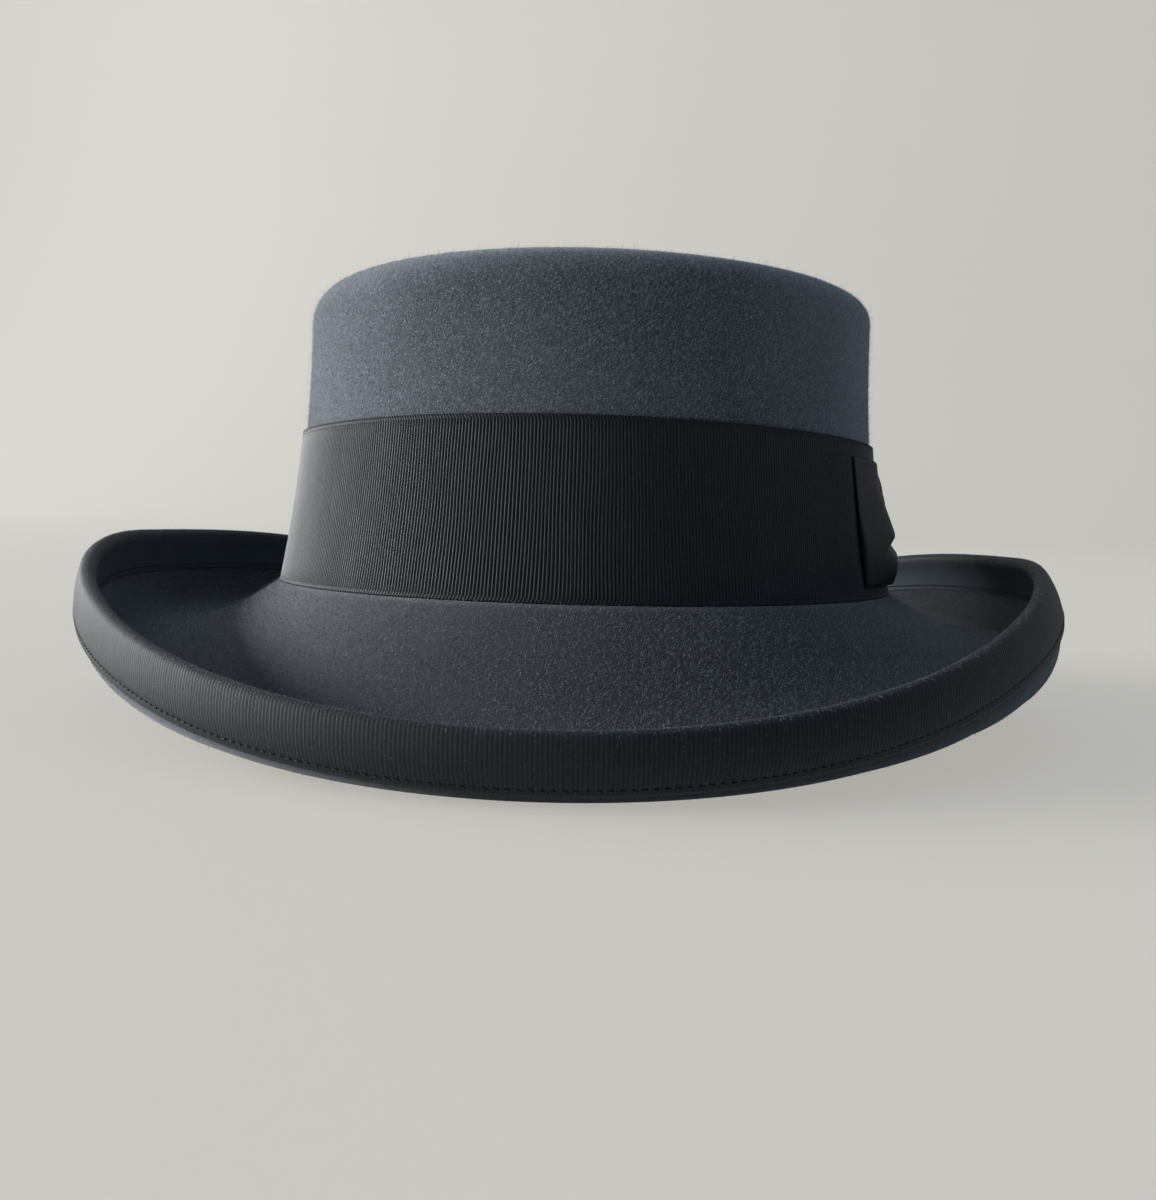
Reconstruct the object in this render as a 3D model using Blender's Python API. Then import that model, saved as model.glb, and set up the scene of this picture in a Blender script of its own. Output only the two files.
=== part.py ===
"""Low felt top hat with a ribbon band, a side bow and a rolled, ribbon-bound brim.

Run it with blender --background --python part.py, or from Blender's text editor.
Lengths are metres. +Z is up, the front faces -Y and the bow is on the +X side.
"""

import math

import bmesh
import bpy
import numpy as np

# Headline: the oval of the band's outer face at its lower edge, where crown and brim meet
HEADLINE_HALF_WIDTH = 0.0885
HEADLINE_HALF_LENGTH = 0.1062

# Crown, with heights measured from the headline
CROWN_HEIGHT = 0.0818
CROWN_DRAW_IN = 0.0073
CROWN_EDGE_RADIUS = 0.0085
CROWN_FELT = 0.0022

# Ribbons
BAND_WIDTH = 0.0428
BAND_SIDE_DIP = 0.002
BAND_THICKNESS = 0.0008
BINDING_OUTER_WIDTH = 0.014
BINDING_THICKNESS = 0.0006

# Brim: rim at the front, sides and back, and the gutter that runs inside it, with heights
# and drops measured from the headline and insets from the rim's oval
BRIM_FELT = 0.0026
COLLAR_HEIGHT = 0.016
RIM_HALF_WIDTH = 0.1301
RIM_HALF_LENGTH = 0.1594
RIM_SIDE_SHIFT = -0.0052
RIM_SIDE_TILT = -0.0011
RIM_FRONT_HEIGHT = -0.0196
RIM_SIDE_HEIGHT = 0.0107
RIM_BACK_HEIGHT = -0.0155
GUTTER_END_DROP = 0.0318
GUTTER_SIDE_DROP = 0.0125
GUTTER_END_INSET = 0.0067
GUTTER_SIDE_INSET = 0.0006
SLOPE_END = math.radians(39.7)
SLOPE_SIDE = math.radians(34.3)
LIP_LEAN_END = math.radians(115)
LIP_LEAN_SIDE = math.radians(122.6)
LIP_LEAN_SKEW = math.radians(10.9)
FRONT_DIP_FULLNESS = 0.36

# Fullness of the brim's two arcs, as Bezier handles per unit of what they span
SLOPE_HANDLE = 0.4
FLOOR_HANDLE = 0.4
ROLL_HANDLE = 0.55
ROLL_RISE_HANDLE = 0.15

# Wire, sweatband and lining
WIRE_RADIUS = 0.0007
SWEATBAND_WIDTH = 0.038
SWEATBAND_LEATHER = 0.001
SWEATBAND_FOOT = 0.0005
REED_RADIUS = 0.001
LINING_THICKNESS = 0.0005
LINING_TUCK = 0.018
PIPING_RADIUS = 0.0009

# Bow: lengths along the band from its knot, heights from the headline
BOW_ANGLE = math.radians(90)
BOW_RIBBON = 0.0006
BOW_CENTRE_HEIGHT = 0.0202
LOOP_LENGTH = 0.056
LOOP_HALF_HEIGHT = 0.016
LOOP_FOLD_RADIUS = 0.0014
LOOP_PUFF = 0.0006
LOOP_TOP_TUCK = 0.6
WAIST_HALF_HEIGHT = 0.008
WAIST_THICKNESS = 0.0022
KNOT_HALF_LENGTH = 0.0075
KNOT_ROOM = 0.0004

# Small bow at the back of the sweatband
SEAM_BOW_HALF_LENGTH = 0.013
SEAM_BOW_END_HALF_HEIGHT = 0.0045
SEAM_BOW_WAIST_HALF_HEIGHT = 0.0016
SEAM_BOW_THICKNESS = 0.0012
SEAM_BOW_HEIGHT = 0.012

# Clearance between touching pieces, and the fineness of the facets
GAP = 0.0003
STATIONS = 48
PROFILE_STEPS = 40
SLOPE_ROWS = 8
LIP_ROWS = 4
FOLD_ROWS = 3
EDGE_ROWS = 4
WALL_ROWS = 3
CROWN_ROWS = 6
LOOP_STATIONS = 30
KNOT_STATIONS = 24
KNOT_SQUARENESS = 6
LOOP_END_ROUNDNESS = 0.5
LOOP_ROWS = (-1, -0.5, 0, 0.5, 1)
KNOT_ROWS = (-1, -0.4, 0.4, 1)
SEAM_BOW_STEPS = 4
ARC_STEPS = 40
SMOOTH_ANGLE = math.radians(40)

UP = np.array([0.0, 0.0, 1.0])
ANGLES = [2 * math.pi * (step + 0.5) / STATIONS for step in range(STATIONS)]


def clear_scene():
    for old in list(bpy.data.objects):
        bpy.data.objects.remove(old, do_unlink=True)


def finish(name, colour, roughness, metallic=0.0):
    material = bpy.data.materials.new(name)
    material.use_nodes = True
    shader = material.node_tree.nodes["Principled BSDF"]
    shader.inputs["Base Color"].default_value = (*colour, 1.0)
    shader.inputs["Roughness"].default_value = roughness
    shader.inputs["Metallic"].default_value = metallic
    return material


def add_object(name, data, material, hat):
    data.materials.append(material)
    piece = bpy.data.objects.new(name, data)
    bpy.context.scene.collection.objects.link(piece)
    piece.parent = hat
    return piece


def join_rings(name, rings, material, hat, closed):
    """A solid through rings of points: a tube back to the first ring if closed, and capped if not."""
    mesh = bpy.data.meshes.new(name)
    shape = bmesh.new()
    loops = [[shape.verts.new(point) for point in ring] for ring in rings]
    pairs = list(zip(loops, loops[1:]))
    if closed:
        pairs.append((loops[-1], loops[0]))
    for lower, upper in pairs:
        for here in range(len(lower)):
            there = (here + 1) % len(lower)
            shape.faces.new((lower[here], lower[there], upper[there], upper[here]))
    if not closed:
        for loop in (loops[0], loops[-1]):
            cap = shape.faces.new(loop)
            bmesh.ops.poke(shape, faces=[cap])
    bmesh.ops.recalc_face_normals(shape, faces=shape.faces)
    shape.to_mesh(mesh)
    shape.free()
    mesh.shade_smooth()
    mesh.set_sharp_from_angle(angle=SMOOTH_ANGLE)
    return add_object(name, mesh, material, hat)


def tube_ring(name, points, radius, material, hat):
    """A closed round cord or wire through the points."""
    curve = bpy.data.curves.new(name, "CURVE")
    curve.dimensions = "3D"
    curve.bevel_depth = radius
    curve.bevel_resolution = 1
    spline = curve.splines.new("POLY")
    spline.points.add(len(points) - 1)
    for spot, point in zip(spline.points, points):
        spot.co = (*point, 1.0)
    spline.use_cyclic_u = True
    return add_object(name, curve, material, hat)


# Ovals of the crown


def crown_shoulder():
    return CROWN_HEIGHT - CROWN_EDGE_RADIUS


def draw_in(height):
    """How far the crown's wall has leaned in at this height."""
    share = min(height / crown_shoulder(), 1.0)
    return CROWN_DRAW_IN * (1 - (1 - share) ** 2)


def oval_point(angle, outward, height):
    """A point off the headline's oval. Angle 0 is the front and 90 degrees the bow's side."""
    x, y = HEADLINE_HALF_WIDTH * math.sin(angle), -HEADLINE_HALF_LENGTH * math.cos(angle)
    normal = np.array([math.sin(angle) / HEADLINE_HALF_WIDTH, -math.cos(angle) / HEADLINE_HALF_LENGTH])
    normal /= np.linalg.norm(normal)
    return np.array([x + outward * normal[0], y + outward * normal[1], height])


def wall_ring(depth, height):
    """A ring that lies depth inside the band's outer face and leans in with the crown."""
    return [oval_point(angle, -depth - draw_in(height), height) for angle in ANGLES]


def strip(name, depth, thickness, low, high, material, hat, side_dip=0.0):
    """A ribbon, leather or cloth strip round the crown's wall, with its top edge lower at the sides."""
    faces = []
    for inside in (depth, depth + thickness):
        face = []
        for row in range(WALL_ROWS + 1):
            ring = []
            for angle in ANGLES:
                top = high - side_dip * math.sin(angle) ** 2
                height = low + (top - low) * row / WALL_ROWS
                ring.append(oval_point(angle, -inside - draw_in(height), height))
            face.append(ring)
        faces.append(face)
    return join_rings(name, faces[0] + faces[1][::-1], material, hat, closed=True)


CROWN_DEPTH = BAND_THICKNESS + GAP
COLLAR_DEPTH = CROWN_DEPTH + CROWN_FELT + GAP
SWEATBAND_DEPTH = COLLAR_DEPTH + BRIM_FELT + GAP
LINING_DEPTH = CROWN_DEPTH + CROWN_FELT + GAP


def crown_face(inset):
    """Rings of the crown's outer face moved in by inset, from its foot to the flat top."""
    shoulder = crown_shoulder()
    radius = CROWN_EDGE_RADIUS - inset
    heights = [GAP + (shoulder - GAP) * row / CROWN_ROWS for row in range(CROWN_ROWS + 1)]
    rings = [wall_ring(CROWN_DEPTH + inset, height) for height in heights]
    for row in range(1, EDGE_ROWS + 1):
        turn = math.pi / 2 * row / EDGE_ROWS
        outward = -CROWN_DEPTH - inset - CROWN_DRAW_IN - radius * (1 - math.cos(turn))
        height = shoulder + radius * math.sin(turn)
        rings.append([oval_point(angle, outward, height) for angle in ANGLES])
    return rings


def make_crown(material, hat):
    outside, inside = crown_face(0.0), crown_face(CROWN_FELT)
    join_rings("crown", outside[::-1] + inside, material, hat, closed=False)


# Brim


def ends_and_sides(angle, front, side, back):
    """Blends a value at the front, the sides and the back of the brim."""
    along, across = math.cos(angle), math.sin(angle)
    if along > 0:
        return side + (front - side) * along**2 * (1 + FRONT_DIP_FULLNESS * across**2)
    return side + (back - side) * along**4


def gutter_reach(angle):
    """How far the gutter's lowest line lies outside the headline."""
    end = RIM_HALF_LENGTH - HEADLINE_HALF_LENGTH - GUTTER_END_INSET
    side = RIM_HALF_WIDTH - HEADLINE_HALF_WIDTH - GUTTER_SIDE_INSET
    return ends_and_sides(angle, end, side, end)


def bezier(points, steps):
    share = np.linspace(0, 1, steps + 1)[:, None]
    a, b, c, d = (np.array(point) for point in points)
    rest = 1 - share
    return rest**3 * a + 3 * rest**2 * share * b + 3 * rest * share**2 * c + share**3 * d


class BrimSection:
    """The brim cut at one angle: its upper face from the headline to the rim, as reach and height."""

    def __init__(self, angle):
        across = math.sin(angle)
        self.foot = oval_point(angle, 0.0, 0.0)
        rim = np.array(
            [
                RIM_HALF_WIDTH * across + RIM_SIDE_SHIFT * across**2,
                -RIM_HALF_LENGTH * math.cos(angle),
            ]
        )
        reach = float(np.linalg.norm(rim - self.foot[:2]))
        self.outward = np.array([*(rim - self.foot[:2]) / reach, 0.0])
        height = ends_and_sides(angle, RIM_FRONT_HEIGHT, RIM_SIDE_HEIGHT, RIM_BACK_HEIGHT)
        height += RIM_SIDE_TILT * across
        drop = ends_and_sides(angle, GUTTER_END_DROP, GUTTER_SIDE_DROP, GUTTER_END_DROP)
        gutter = gutter_reach(angle)
        slope = ends_and_sides(angle, SLOPE_END, SLOPE_SIDE, SLOPE_END)
        lean = ends_and_sides(angle, LIP_LEAN_END, LIP_LEAN_SIDE, LIP_LEAN_END) + LIP_LEAN_SKEW * across
        rise = height + drop
        first = SLOPE_HANDLE * math.hypot(gutter, drop)
        floor = FLOOR_HANDLE * gutter
        roll = ROLL_HANDLE * (reach - gutter) + ROLL_RISE_HANDLE * rise
        last = ROLL_HANDLE * rise
        down = bezier(
            [
                (0, 0),
                (first * math.cos(slope), -first * math.sin(slope)),
                (gutter - floor, -drop),
                (gutter, -drop),
            ],
            PROFILE_STEPS,
        )
        up = bezier(
            [
                (gutter, -drop),
                (gutter + roll, -drop),
                (reach - last * math.cos(lean), height - last * math.sin(lean)),
                (reach, height),
            ],
            PROFILE_STEPS,
        )
        self.line = np.concatenate([down, up[1:]])
        along = np.gradient(self.line, axis=0)
        along /= np.linalg.norm(along, axis=1)[:, None]
        self.normal = np.stack([-along[:, 1], along[:, 0]], axis=1)
        self.arc = self.lengths(self.line)
        self.under_arc = self.lengths(self.line - BRIM_FELT * self.normal)

    @staticmethod
    def lengths(line):
        return np.concatenate([[0.0], np.cumsum(np.linalg.norm(np.diff(line, axis=0), axis=1))])

    def at(self, arc, above):
        """The point at this arc length along the upper face, moved off the felt by above."""
        spot = [np.interp(arc, self.arc, self.line[:, axis]) for axis in (0, 1)]
        normal = np.array([np.interp(arc, self.arc, self.normal[:, axis]) for axis in (0, 1)])
        reach, height = np.array(spot) + above * normal / np.linalg.norm(normal)
        return self.foot + reach * self.outward + height * UP

    def binding_edge(self):
        """Arc length where the binding ends, so that its outer face has its full width."""
        return float(np.interp(self.under_arc[-1] - BINDING_OUTER_WIDTH, self.under_arc, self.arc))

    def felt_edge(self):
        return self.arc[-1] - BINDING_THICKNESS - 2 * GAP - 2 * WIRE_RADIUS

    def fold_centre(self):
        return self.arc[-1] - BINDING_THICKNESS - GAP - BRIM_FELT / 2

    def wire_centre(self):
        return self.arc[-1] - BINDING_THICKNESS - GAP - WIRE_RADIUS

    def lip_stations(self, end):
        edge = self.binding_edge()
        return [edge + (end - edge) * row / LIP_ROWS for row in range(LIP_ROWS + 1)]

    def felt_stations(self):
        slope = [self.binding_edge() * row / SLOPE_ROWS for row in range(SLOPE_ROWS)]
        return slope + self.lip_stations(self.felt_edge())

    def fold(self, spacing):
        """Points of the binding's fold round the rim, from the under side to the upper side."""
        centre = self.at(self.fold_centre(), -BRIM_FELT / 2)
        across = self.at(self.fold_centre(), 0.0) - centre
        across /= np.linalg.norm(across)
        ahead = np.cross(across, np.cross(self.outward, UP))
        radius = BRIM_FELT / 2 + spacing
        turns = [math.pi * (row / FOLD_ROWS - 0.5) for row in range(1, FOLD_ROWS)]
        return [centre + radius * (math.cos(turn) * ahead + math.sin(turn) * across) for turn in turns]

    def binding_face(self, spacing):
        stations = self.lip_stations(self.fold_centre())
        under = [self.at(arc, -BRIM_FELT - spacing) for arc in stations]
        upper = [self.at(arc, spacing) for arc in reversed(stations)]
        return under + self.fold(spacing) + upper


def rings_of(sections):
    """Turns one list of points for each angle into one ring for each point."""
    return [list(ring) for ring in zip(*sections)]


def brim_outline(section, angle):
    """The felt's closed outline: down the collar, out along the upper face and back underneath."""
    stations = section.felt_stations()
    collar = [oval_point(angle, -COLLAR_DEPTH - draw_in(height), height) for height in (COLLAR_HEIGHT, 0.0)]
    depth = COLLAR_DEPTH + BRIM_FELT
    inside = [oval_point(angle, -depth - draw_in(height), height) for height in (0.0, COLLAR_HEIGHT)]
    upper = [section.at(arc, 0.0) for arc in stations]
    under = [section.at(arc, -BRIM_FELT) for arc in reversed(stations)]
    return collar + upper + under + inside


def make_brim(sections, material, hat):
    outlines = [brim_outline(section, angle) for section, angle in zip(sections, ANGLES)]
    join_rings("brim", rings_of(outlines), material, hat, closed=True)


def binding_outline(section):
    return section.binding_face(GAP + BINDING_THICKNESS) + section.binding_face(GAP)[::-1]


def make_binding(sections, ribbon, steel, hat):
    outlines = [binding_outline(section) for section in sections]
    join_rings("brim_binding", rings_of(outlines), ribbon, hat, closed=True)
    wire = [section.at(section.wire_centre(), -BRIM_FELT / 2) for section in sections]
    tube_ring("brim_wire", wire, WIRE_RADIUS, steel, hat)


def stand_on_floor(sections, hat):
    """Moves the whole hat so that the origin is under the middle of the brim, on its lowest points."""
    outlines = [brim_outline(section, angle) for section, angle in zip(sections, ANGLES)]
    outlines += [binding_outline(section) for section in sections]
    points = np.array([point for outline in outlines for point in outline])
    low, high = points.min(axis=0), points.max(axis=0)
    hat.location = (-(low[0] + high[0]) / 2, -(low[1] + high[1]) / 2, -low[2])


# Sweatband and lining


def make_sweatband(leather, reed, ribbon, hat):
    top = SWEATBAND_FOOT + SWEATBAND_WIDTH
    strip("sweatband", SWEATBAND_DEPTH, SWEATBAND_LEATHER, SWEATBAND_FOOT, top, leather, hat)
    reed_height = SWEATBAND_FOOT - GAP - REED_RADIUS
    reed_depth = SWEATBAND_DEPTH + REED_RADIUS
    ring = [oval_point(angle, -reed_depth, reed_height) for angle in ANGLES]
    tube_ring("sweatband_reed", ring, REED_RADIUS, reed, hat)
    make_seam_bow(ribbon, hat)


def make_seam_bow(material, hat):
    """The flat bow over the sweatband's joint, narrow at its waist."""
    depth = SWEATBAND_DEPTH + SWEATBAND_LEATHER + GAP
    rings = []
    for step in range(-SEAM_BOW_STEPS, SEAM_BOW_STEPS + 1):
        share = step / SEAM_BOW_STEPS
        spread = SEAM_BOW_END_HALF_HEIGHT - SEAM_BOW_WAIST_HALF_HEIGHT
        half = SEAM_BOW_WAIST_HALF_HEIGHT + spread * abs(share)
        angle = math.pi + share * SEAM_BOW_HALF_LENGTH / HEADLINE_HALF_WIDTH
        ring = []
        for side, inward in ((-1, 0), (1, 0), (1, 1), (-1, 1)):
            height = SEAM_BOW_HEIGHT + side * half
            ring.append(oval_point(angle, -depth - inward * SEAM_BOW_THICKNESS - draw_in(height), height))
        rings.append(ring)
    join_rings("sweatband_bow", rings, material, hat, closed=False)


def make_lining(satin, cord, hat):
    """The side cloth stops below the crown's rounded edge. The piping lies on it and carries the tip."""
    piping_height = crown_shoulder() - PIPING_RADIUS
    side_top = piping_height - PIPING_RADIUS - GAP
    tip_low = crown_shoulder() + GAP
    strip("lining_side", LINING_DEPTH, LINING_THICKNESS, LINING_TUCK, side_top, satin, hat)
    piping_depth = LINING_DEPTH + PIPING_RADIUS
    tube_ring("lining_piping", wall_ring(piping_depth, piping_height), PIPING_RADIUS, cord, hat)
    tip = [wall_ring(piping_depth, height) for height in (tip_low, tip_low + LINING_THICKNESS)]
    join_rings("lining_tip", tip, satin, hat, closed=False)


# Bow


def band_angle(along):
    """The oval's angle at this distance along the band from the bow's knot, positive towards the front."""
    angle = BOW_ANGLE
    for _ in range(ARC_STEPS):
        speed = math.hypot(HEADLINE_HALF_WIDTH * math.cos(angle), HEADLINE_HALF_LENGTH * math.sin(angle))
        angle -= along / ARC_STEPS / speed
    return angle


def bow_point(along, off, height):
    """A point by its place along the band, its distance off the band's face and its height."""
    return oval_point(band_angle(along), off - draw_in(height), height)


def waist_off():
    """Distance of the middle of the gathered waist from the band."""
    return GAP + BOW_RIBBON + KNOT_ROOM + WAIST_THICKNESS / 2


def opened(along):
    """How far the loop has opened out, from 0 at the knot to 1 at its fold."""
    return min(max((along - KNOT_HALF_LENGTH) / (LOOP_LENGTH - KNOT_HALF_LENGTH), 0.0), 1.0)


def loop_path(inset):
    """The loop's closed outline seen from above, as (along, off), pulled in by inset."""
    near = GAP / 2 + inset
    far = LOOP_LENGTH - inset
    path = []
    for step in range(LOOP_STATIONS):
        turn = 2 * math.pi * step / LOOP_STATIONS
        along = near + (far - near) * (1 - math.cos(turn)) / 2
        share = opened(along)
        half = WAIST_THICKNESS / 2 + (LOOP_FOLD_RADIUS - WAIST_THICKNESS / 2) * share - inset
        half *= abs(math.sin(turn)) ** LOOP_END_ROUNDNESS
        off = waist_off() - half
        if turn > math.pi:
            off = waist_off() + half + LOOP_PUFF * math.sin(math.pi * share)
        path.append((along, off))
    return path


def make_loop(name, direction, material, hat):
    """One loop of the bow: a ribbon tube, open above and below, drawn together at the knot."""
    rings = []
    for inset, sides in ((0.0, LOOP_ROWS), (BOW_RIBBON, LOOP_ROWS[::-1])):
        for side in sides:
            ring = []
            for along, off in loop_path(inset):
                spread = math.sin(math.pi / 2 * opened(along))
                half = WAIST_HALF_HEIGHT + (LOOP_HALF_HEIGHT - WAIST_HALF_HEIGHT) * spread
                tuck = 1 - LOOP_TOP_TUCK * max(side, 0.0) * opened(along)
                ring.append(bow_point(direction * along, off * tuck, BOW_CENTRE_HEIGHT + side * half))
            rings.append(ring)
    join_rings(name, rings, material, hat, closed=True)


def make_knot(material, hat):
    """The strip round the bow's waist, a squared ring that clears the gathered ribbon."""
    rings = []
    for wall, rows in ((BOW_RIBBON, KNOT_ROWS), (0.0, KNOT_ROWS[::-1])):
        thick = WAIST_THICKNESS / 2 + KNOT_ROOM + wall
        tall = WAIST_HALF_HEIGHT + 2 * KNOT_ROOM + wall
        for row in rows:
            ring = []
            for step in range(KNOT_STATIONS):
                turn = 2 * math.pi * step / KNOT_STATIONS
                power = 2 / KNOT_SQUARENESS
                off = math.copysign(abs(math.cos(turn)) ** power, math.cos(turn))
                rise = math.copysign(abs(math.sin(turn)) ** power, math.sin(turn))
                height = BOW_CENTRE_HEIGHT + tall * rise
                ring.append(bow_point(row * KNOT_HALF_LENGTH, waist_off() + thick * off, height))
            rings.append(ring)
    join_rings("bow_knot", rings, material, hat, closed=True)


def make_bow(material, hat):
    make_loop("bow_front_loop", 1, material, hat)
    make_loop("bow_rear_loop", -1, material, hat)
    make_knot(material, hat)


def main():
    clear_scene()
    hat = bpy.data.objects.new("hat", None)
    bpy.context.scene.collection.objects.link(hat)
    felt = finish("slate felt", (0.048, 0.060, 0.082), 0.95)
    ribbon = finish("charcoal grosgrain", (0.021, 0.022, 0.022), 0.7)
    leather = finish("black leather", (0.016, 0.015, 0.015), 0.5)
    satin = finish("black satin", (0.020, 0.021, 0.026), 0.35)
    reed = finish("black reed", (0.015, 0.015, 0.015), 0.6)
    steel = finish("steel wire", (0.45, 0.45, 0.46), 0.35, 1.0)
    sections = [BrimSection(angle) for angle in ANGLES]
    make_crown(felt, hat)
    make_brim(sections, felt, hat)
    strip("hat_band", 0.0, BAND_THICKNESS, GAP, BAND_WIDTH, ribbon, hat, BAND_SIDE_DIP)
    make_bow(ribbon, hat)
    make_binding(sections, ribbon, steel, hat)
    make_sweatband(leather, reed, ribbon, hat)
    make_lining(satin, ribbon, hat)
    stand_on_floor(sections, hat)


main()
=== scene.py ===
"""Looks of the low felt top hat, laid out as an add-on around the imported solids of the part.

Lengths are metres in the frame of the solids. The front faces -Y and the bow is on the +X side.
Angles run round the hat from the front, and reach the bow at 90 degrees.
"""

import math

import bpy
import numpy as np
from bpy.props import FloatProperty, FloatVectorProperty, IntProperty, PointerProperty
from mathutils import Matrix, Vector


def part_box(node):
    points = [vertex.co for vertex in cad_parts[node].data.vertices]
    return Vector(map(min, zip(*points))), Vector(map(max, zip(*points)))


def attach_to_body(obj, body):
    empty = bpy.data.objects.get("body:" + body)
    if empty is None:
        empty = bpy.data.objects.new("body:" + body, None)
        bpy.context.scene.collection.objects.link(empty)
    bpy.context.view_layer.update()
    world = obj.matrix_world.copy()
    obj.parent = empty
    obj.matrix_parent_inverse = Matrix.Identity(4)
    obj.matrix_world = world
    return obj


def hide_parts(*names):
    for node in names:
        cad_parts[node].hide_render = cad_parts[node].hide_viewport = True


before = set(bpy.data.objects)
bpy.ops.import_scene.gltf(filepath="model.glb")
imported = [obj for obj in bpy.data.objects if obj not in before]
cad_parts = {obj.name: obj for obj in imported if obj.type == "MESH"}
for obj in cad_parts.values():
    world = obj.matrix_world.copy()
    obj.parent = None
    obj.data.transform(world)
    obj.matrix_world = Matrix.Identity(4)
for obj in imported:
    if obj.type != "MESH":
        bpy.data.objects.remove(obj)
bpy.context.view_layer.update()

bl_info = {
    "name": "Felt Top Hat",
    "version": (1, 0, 0),
    "blender": (4, 5, 0),
    "location": "3D View > Sidebar > Hat",
    "description": "Felt, ribbons, leather and lining of a low top hat with a rolled brim",
    "category": "Add Mesh",
}

# Where the solids stand: the crown's axis, and the headline where crown and brim meet
GAP = 0.0003
CROWN_LOW, CROWN_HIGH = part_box("crown")
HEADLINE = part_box("hat_band")[0].z - GAP
PLACE = np.array([(CROWN_LOW.x + CROWN_HIGH.x) / 2, (CROWN_LOW.y + CROWN_HIGH.y) / 2, HEADLINE])

# Crown, as in the solids, with heights measured from the headline
HALF_WIDTH = 0.0885
HALF_LENGTH = 0.1062
CROWN_HEIGHT = CROWN_HIGH.z - HEADLINE
CROWN_DRAW_IN = 0.0073
CROWN_EDGE_RADIUS = 0.0085
CROWN_EDGE_SKEW = 0.0022
CROWN_FELT = 0.0022
SHOULDER = CROWN_HEIGHT - CROWN_EDGE_RADIUS
HAND_WAVE = 0.00014
HAND_WAVE_HEIGHT = 0.03

# Ribbons
BAND_WIDTH = 0.0428
BAND_SIDE_DIP = 0.002
BAND_THICKNESS = 0.0008
BINDING_OUTER_WIDTH = 0.014
BINDING_THICKNESS = 0.0006

# Brim, as in the solids
BRIM_FELT = 0.0026
COLLAR_HEIGHT = 0.016
RIM_HALF_WIDTH = 0.1301
RIM_HALF_LENGTH = 0.1594
RIM_SIDE_SHIFT = -0.0052
RIM_SIDE_TILT = -0.0011
RIM_FRONT_HEIGHT = -0.0196
RIM_SIDE_HEIGHT = 0.0107
RIM_BACK_HEIGHT = -0.0155
GUTTER_END_DROP = 0.0318
GUTTER_SIDE_DROP = 0.0125
GUTTER_END_INSET = 0.0067
GUTTER_SIDE_INSET = 0.0006
SLOPE_END = math.radians(39.7)
SLOPE_SIDE = math.radians(34.3)
LIP_LEAN_END = math.radians(115)
LIP_LEAN_SIDE = math.radians(122.6)
LIP_LEAN_SKEW = math.radians(10.9)
FRONT_DIP_FULLNESS = 0.36
SLOPE_HANDLE = 0.4
FLOOR_HANDLE = 0.4
ROLL_HANDLE = 0.55
ROLL_RISE_HANDLE = 0.15
WIRE_RADIUS = 0.0007

# Depths inside the band's outer face
CROWN_DEPTH = BAND_THICKNESS + GAP
COLLAR_DEPTH = CROWN_DEPTH + CROWN_FELT + GAP
SWEATBAND_DEPTH = COLLAR_DEPTH + BRIM_FELT + GAP
LINING_DEPTH = CROWN_DEPTH + CROWN_FELT + GAP

UP = np.array([0.0, 0.0, 1.0])
FINE_STEPS = 4000
PROFILE_STEPS = 40


# Sizes and colours that a user would change


def number(name, description, default, **settings):
    return FloatProperty(name=name, description=description, default=default, **settings)


def length(name, description, default):
    return number(name, description, default, subtype="DISTANCE", unit="LENGTH")


def share(name, description, default):
    return number(name, description, default, min=0.0, max=1.0, subtype="FACTOR")


def turn(name, description, default):
    return number(name, description, default, subtype="ANGLE")


def whole(name, description, default):
    return IntProperty(name=name, description=description, default=default)


def colour(name, description, default):
    """A colour property. The default is written as 8-bit screen values."""
    linear = [linear_value(value / 255) for value in default]
    return FloatVectorProperty(
        name=name, description=description, default=linear, size=3, min=0.0, max=1.0, subtype="COLOR"
    )


def linear_value(value):
    return value / 12.92 if value <= 0.04045 else ((value + 0.055) / 1.055) ** 2.4


class FeltLook(bpy.types.PropertyGroup):
    """Felt of the crown and the brim."""

    dark: colour("Dark felt", "Colour between the fibres", (30, 34, 41))
    mid: colour("Felt", "Main colour of the felt", (84, 91, 100))
    light: colour("Light felt", "Colour of the raised fibres", (158, 166, 176))
    # Painted shade: the brim's felt is painted darker than the crown's by this share, a shaded copy of the
    # same felt
    brim_painted_shade: share("Brim shade", "Lightness of the brim, whose nap points away from the eye", 0.4)
    fibre_length: length("Fibre length", "Length of the nap's fibres", 0.0012)
    fibre_width: length("Fibre width", "Width of a fibre at its root", 0.0001)
    streak: length("Streak", "Length of the streaks that the brush left", 0.0013)
    crown_density: whole("Crown fibres", "Fibres per square centimetre", 330)
    brim_density: whole("Brim fibres", "Fibres per square centimetre", 212)
    comb: turn("Comb", "Way that the nap is brushed, up from the run round the hat", math.radians(56))
    seed: whole("Seed", "Start of the random draws", 7)


class RibbonLook(bpy.types.PropertyGroup):
    """Ribbed grosgrain of the band, the bows and the binding."""

    # Painted shade: the grooves between the ribs are painted darker than the ribs
    painted_groove_shade: colour("Groove", "Colour between the ribs", (2, 4, 7))
    rib: colour("Rib", "Colour on the ribs", (9, 17, 25))
    rib_pitch: length("Rib pitch", "Distance from rib to rib", 0.0009)
    rib_depth: length("Rib depth", "Depth of the grooves", 0.00042)
    selvedge: length("Selvedge", "Width of the woven edge", 0.0011)
    scallop: length("Scallop", "How far the ribs stand out of the woven edge", 0.00022)
    stitch_pitch: length("Stitch pitch", "Distance from stitch to stitch", 0.0021)
    stitch_length: length("Stitch length", "Length of one stitch", 0.0013)
    stitch_width: length("Stitch width", "Thickness of the thread", 0.0004)
    thread: colour("Thread", "Colour of the stitches", (11, 12, 15))
    # Lint specks on all ribbons; on the binding's inner face this colour is also painted light that lifts
    # the whole face
    lint: colour("Lint", "Colour of the lint in the roll of the brim", (60, 72, 86))


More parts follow.
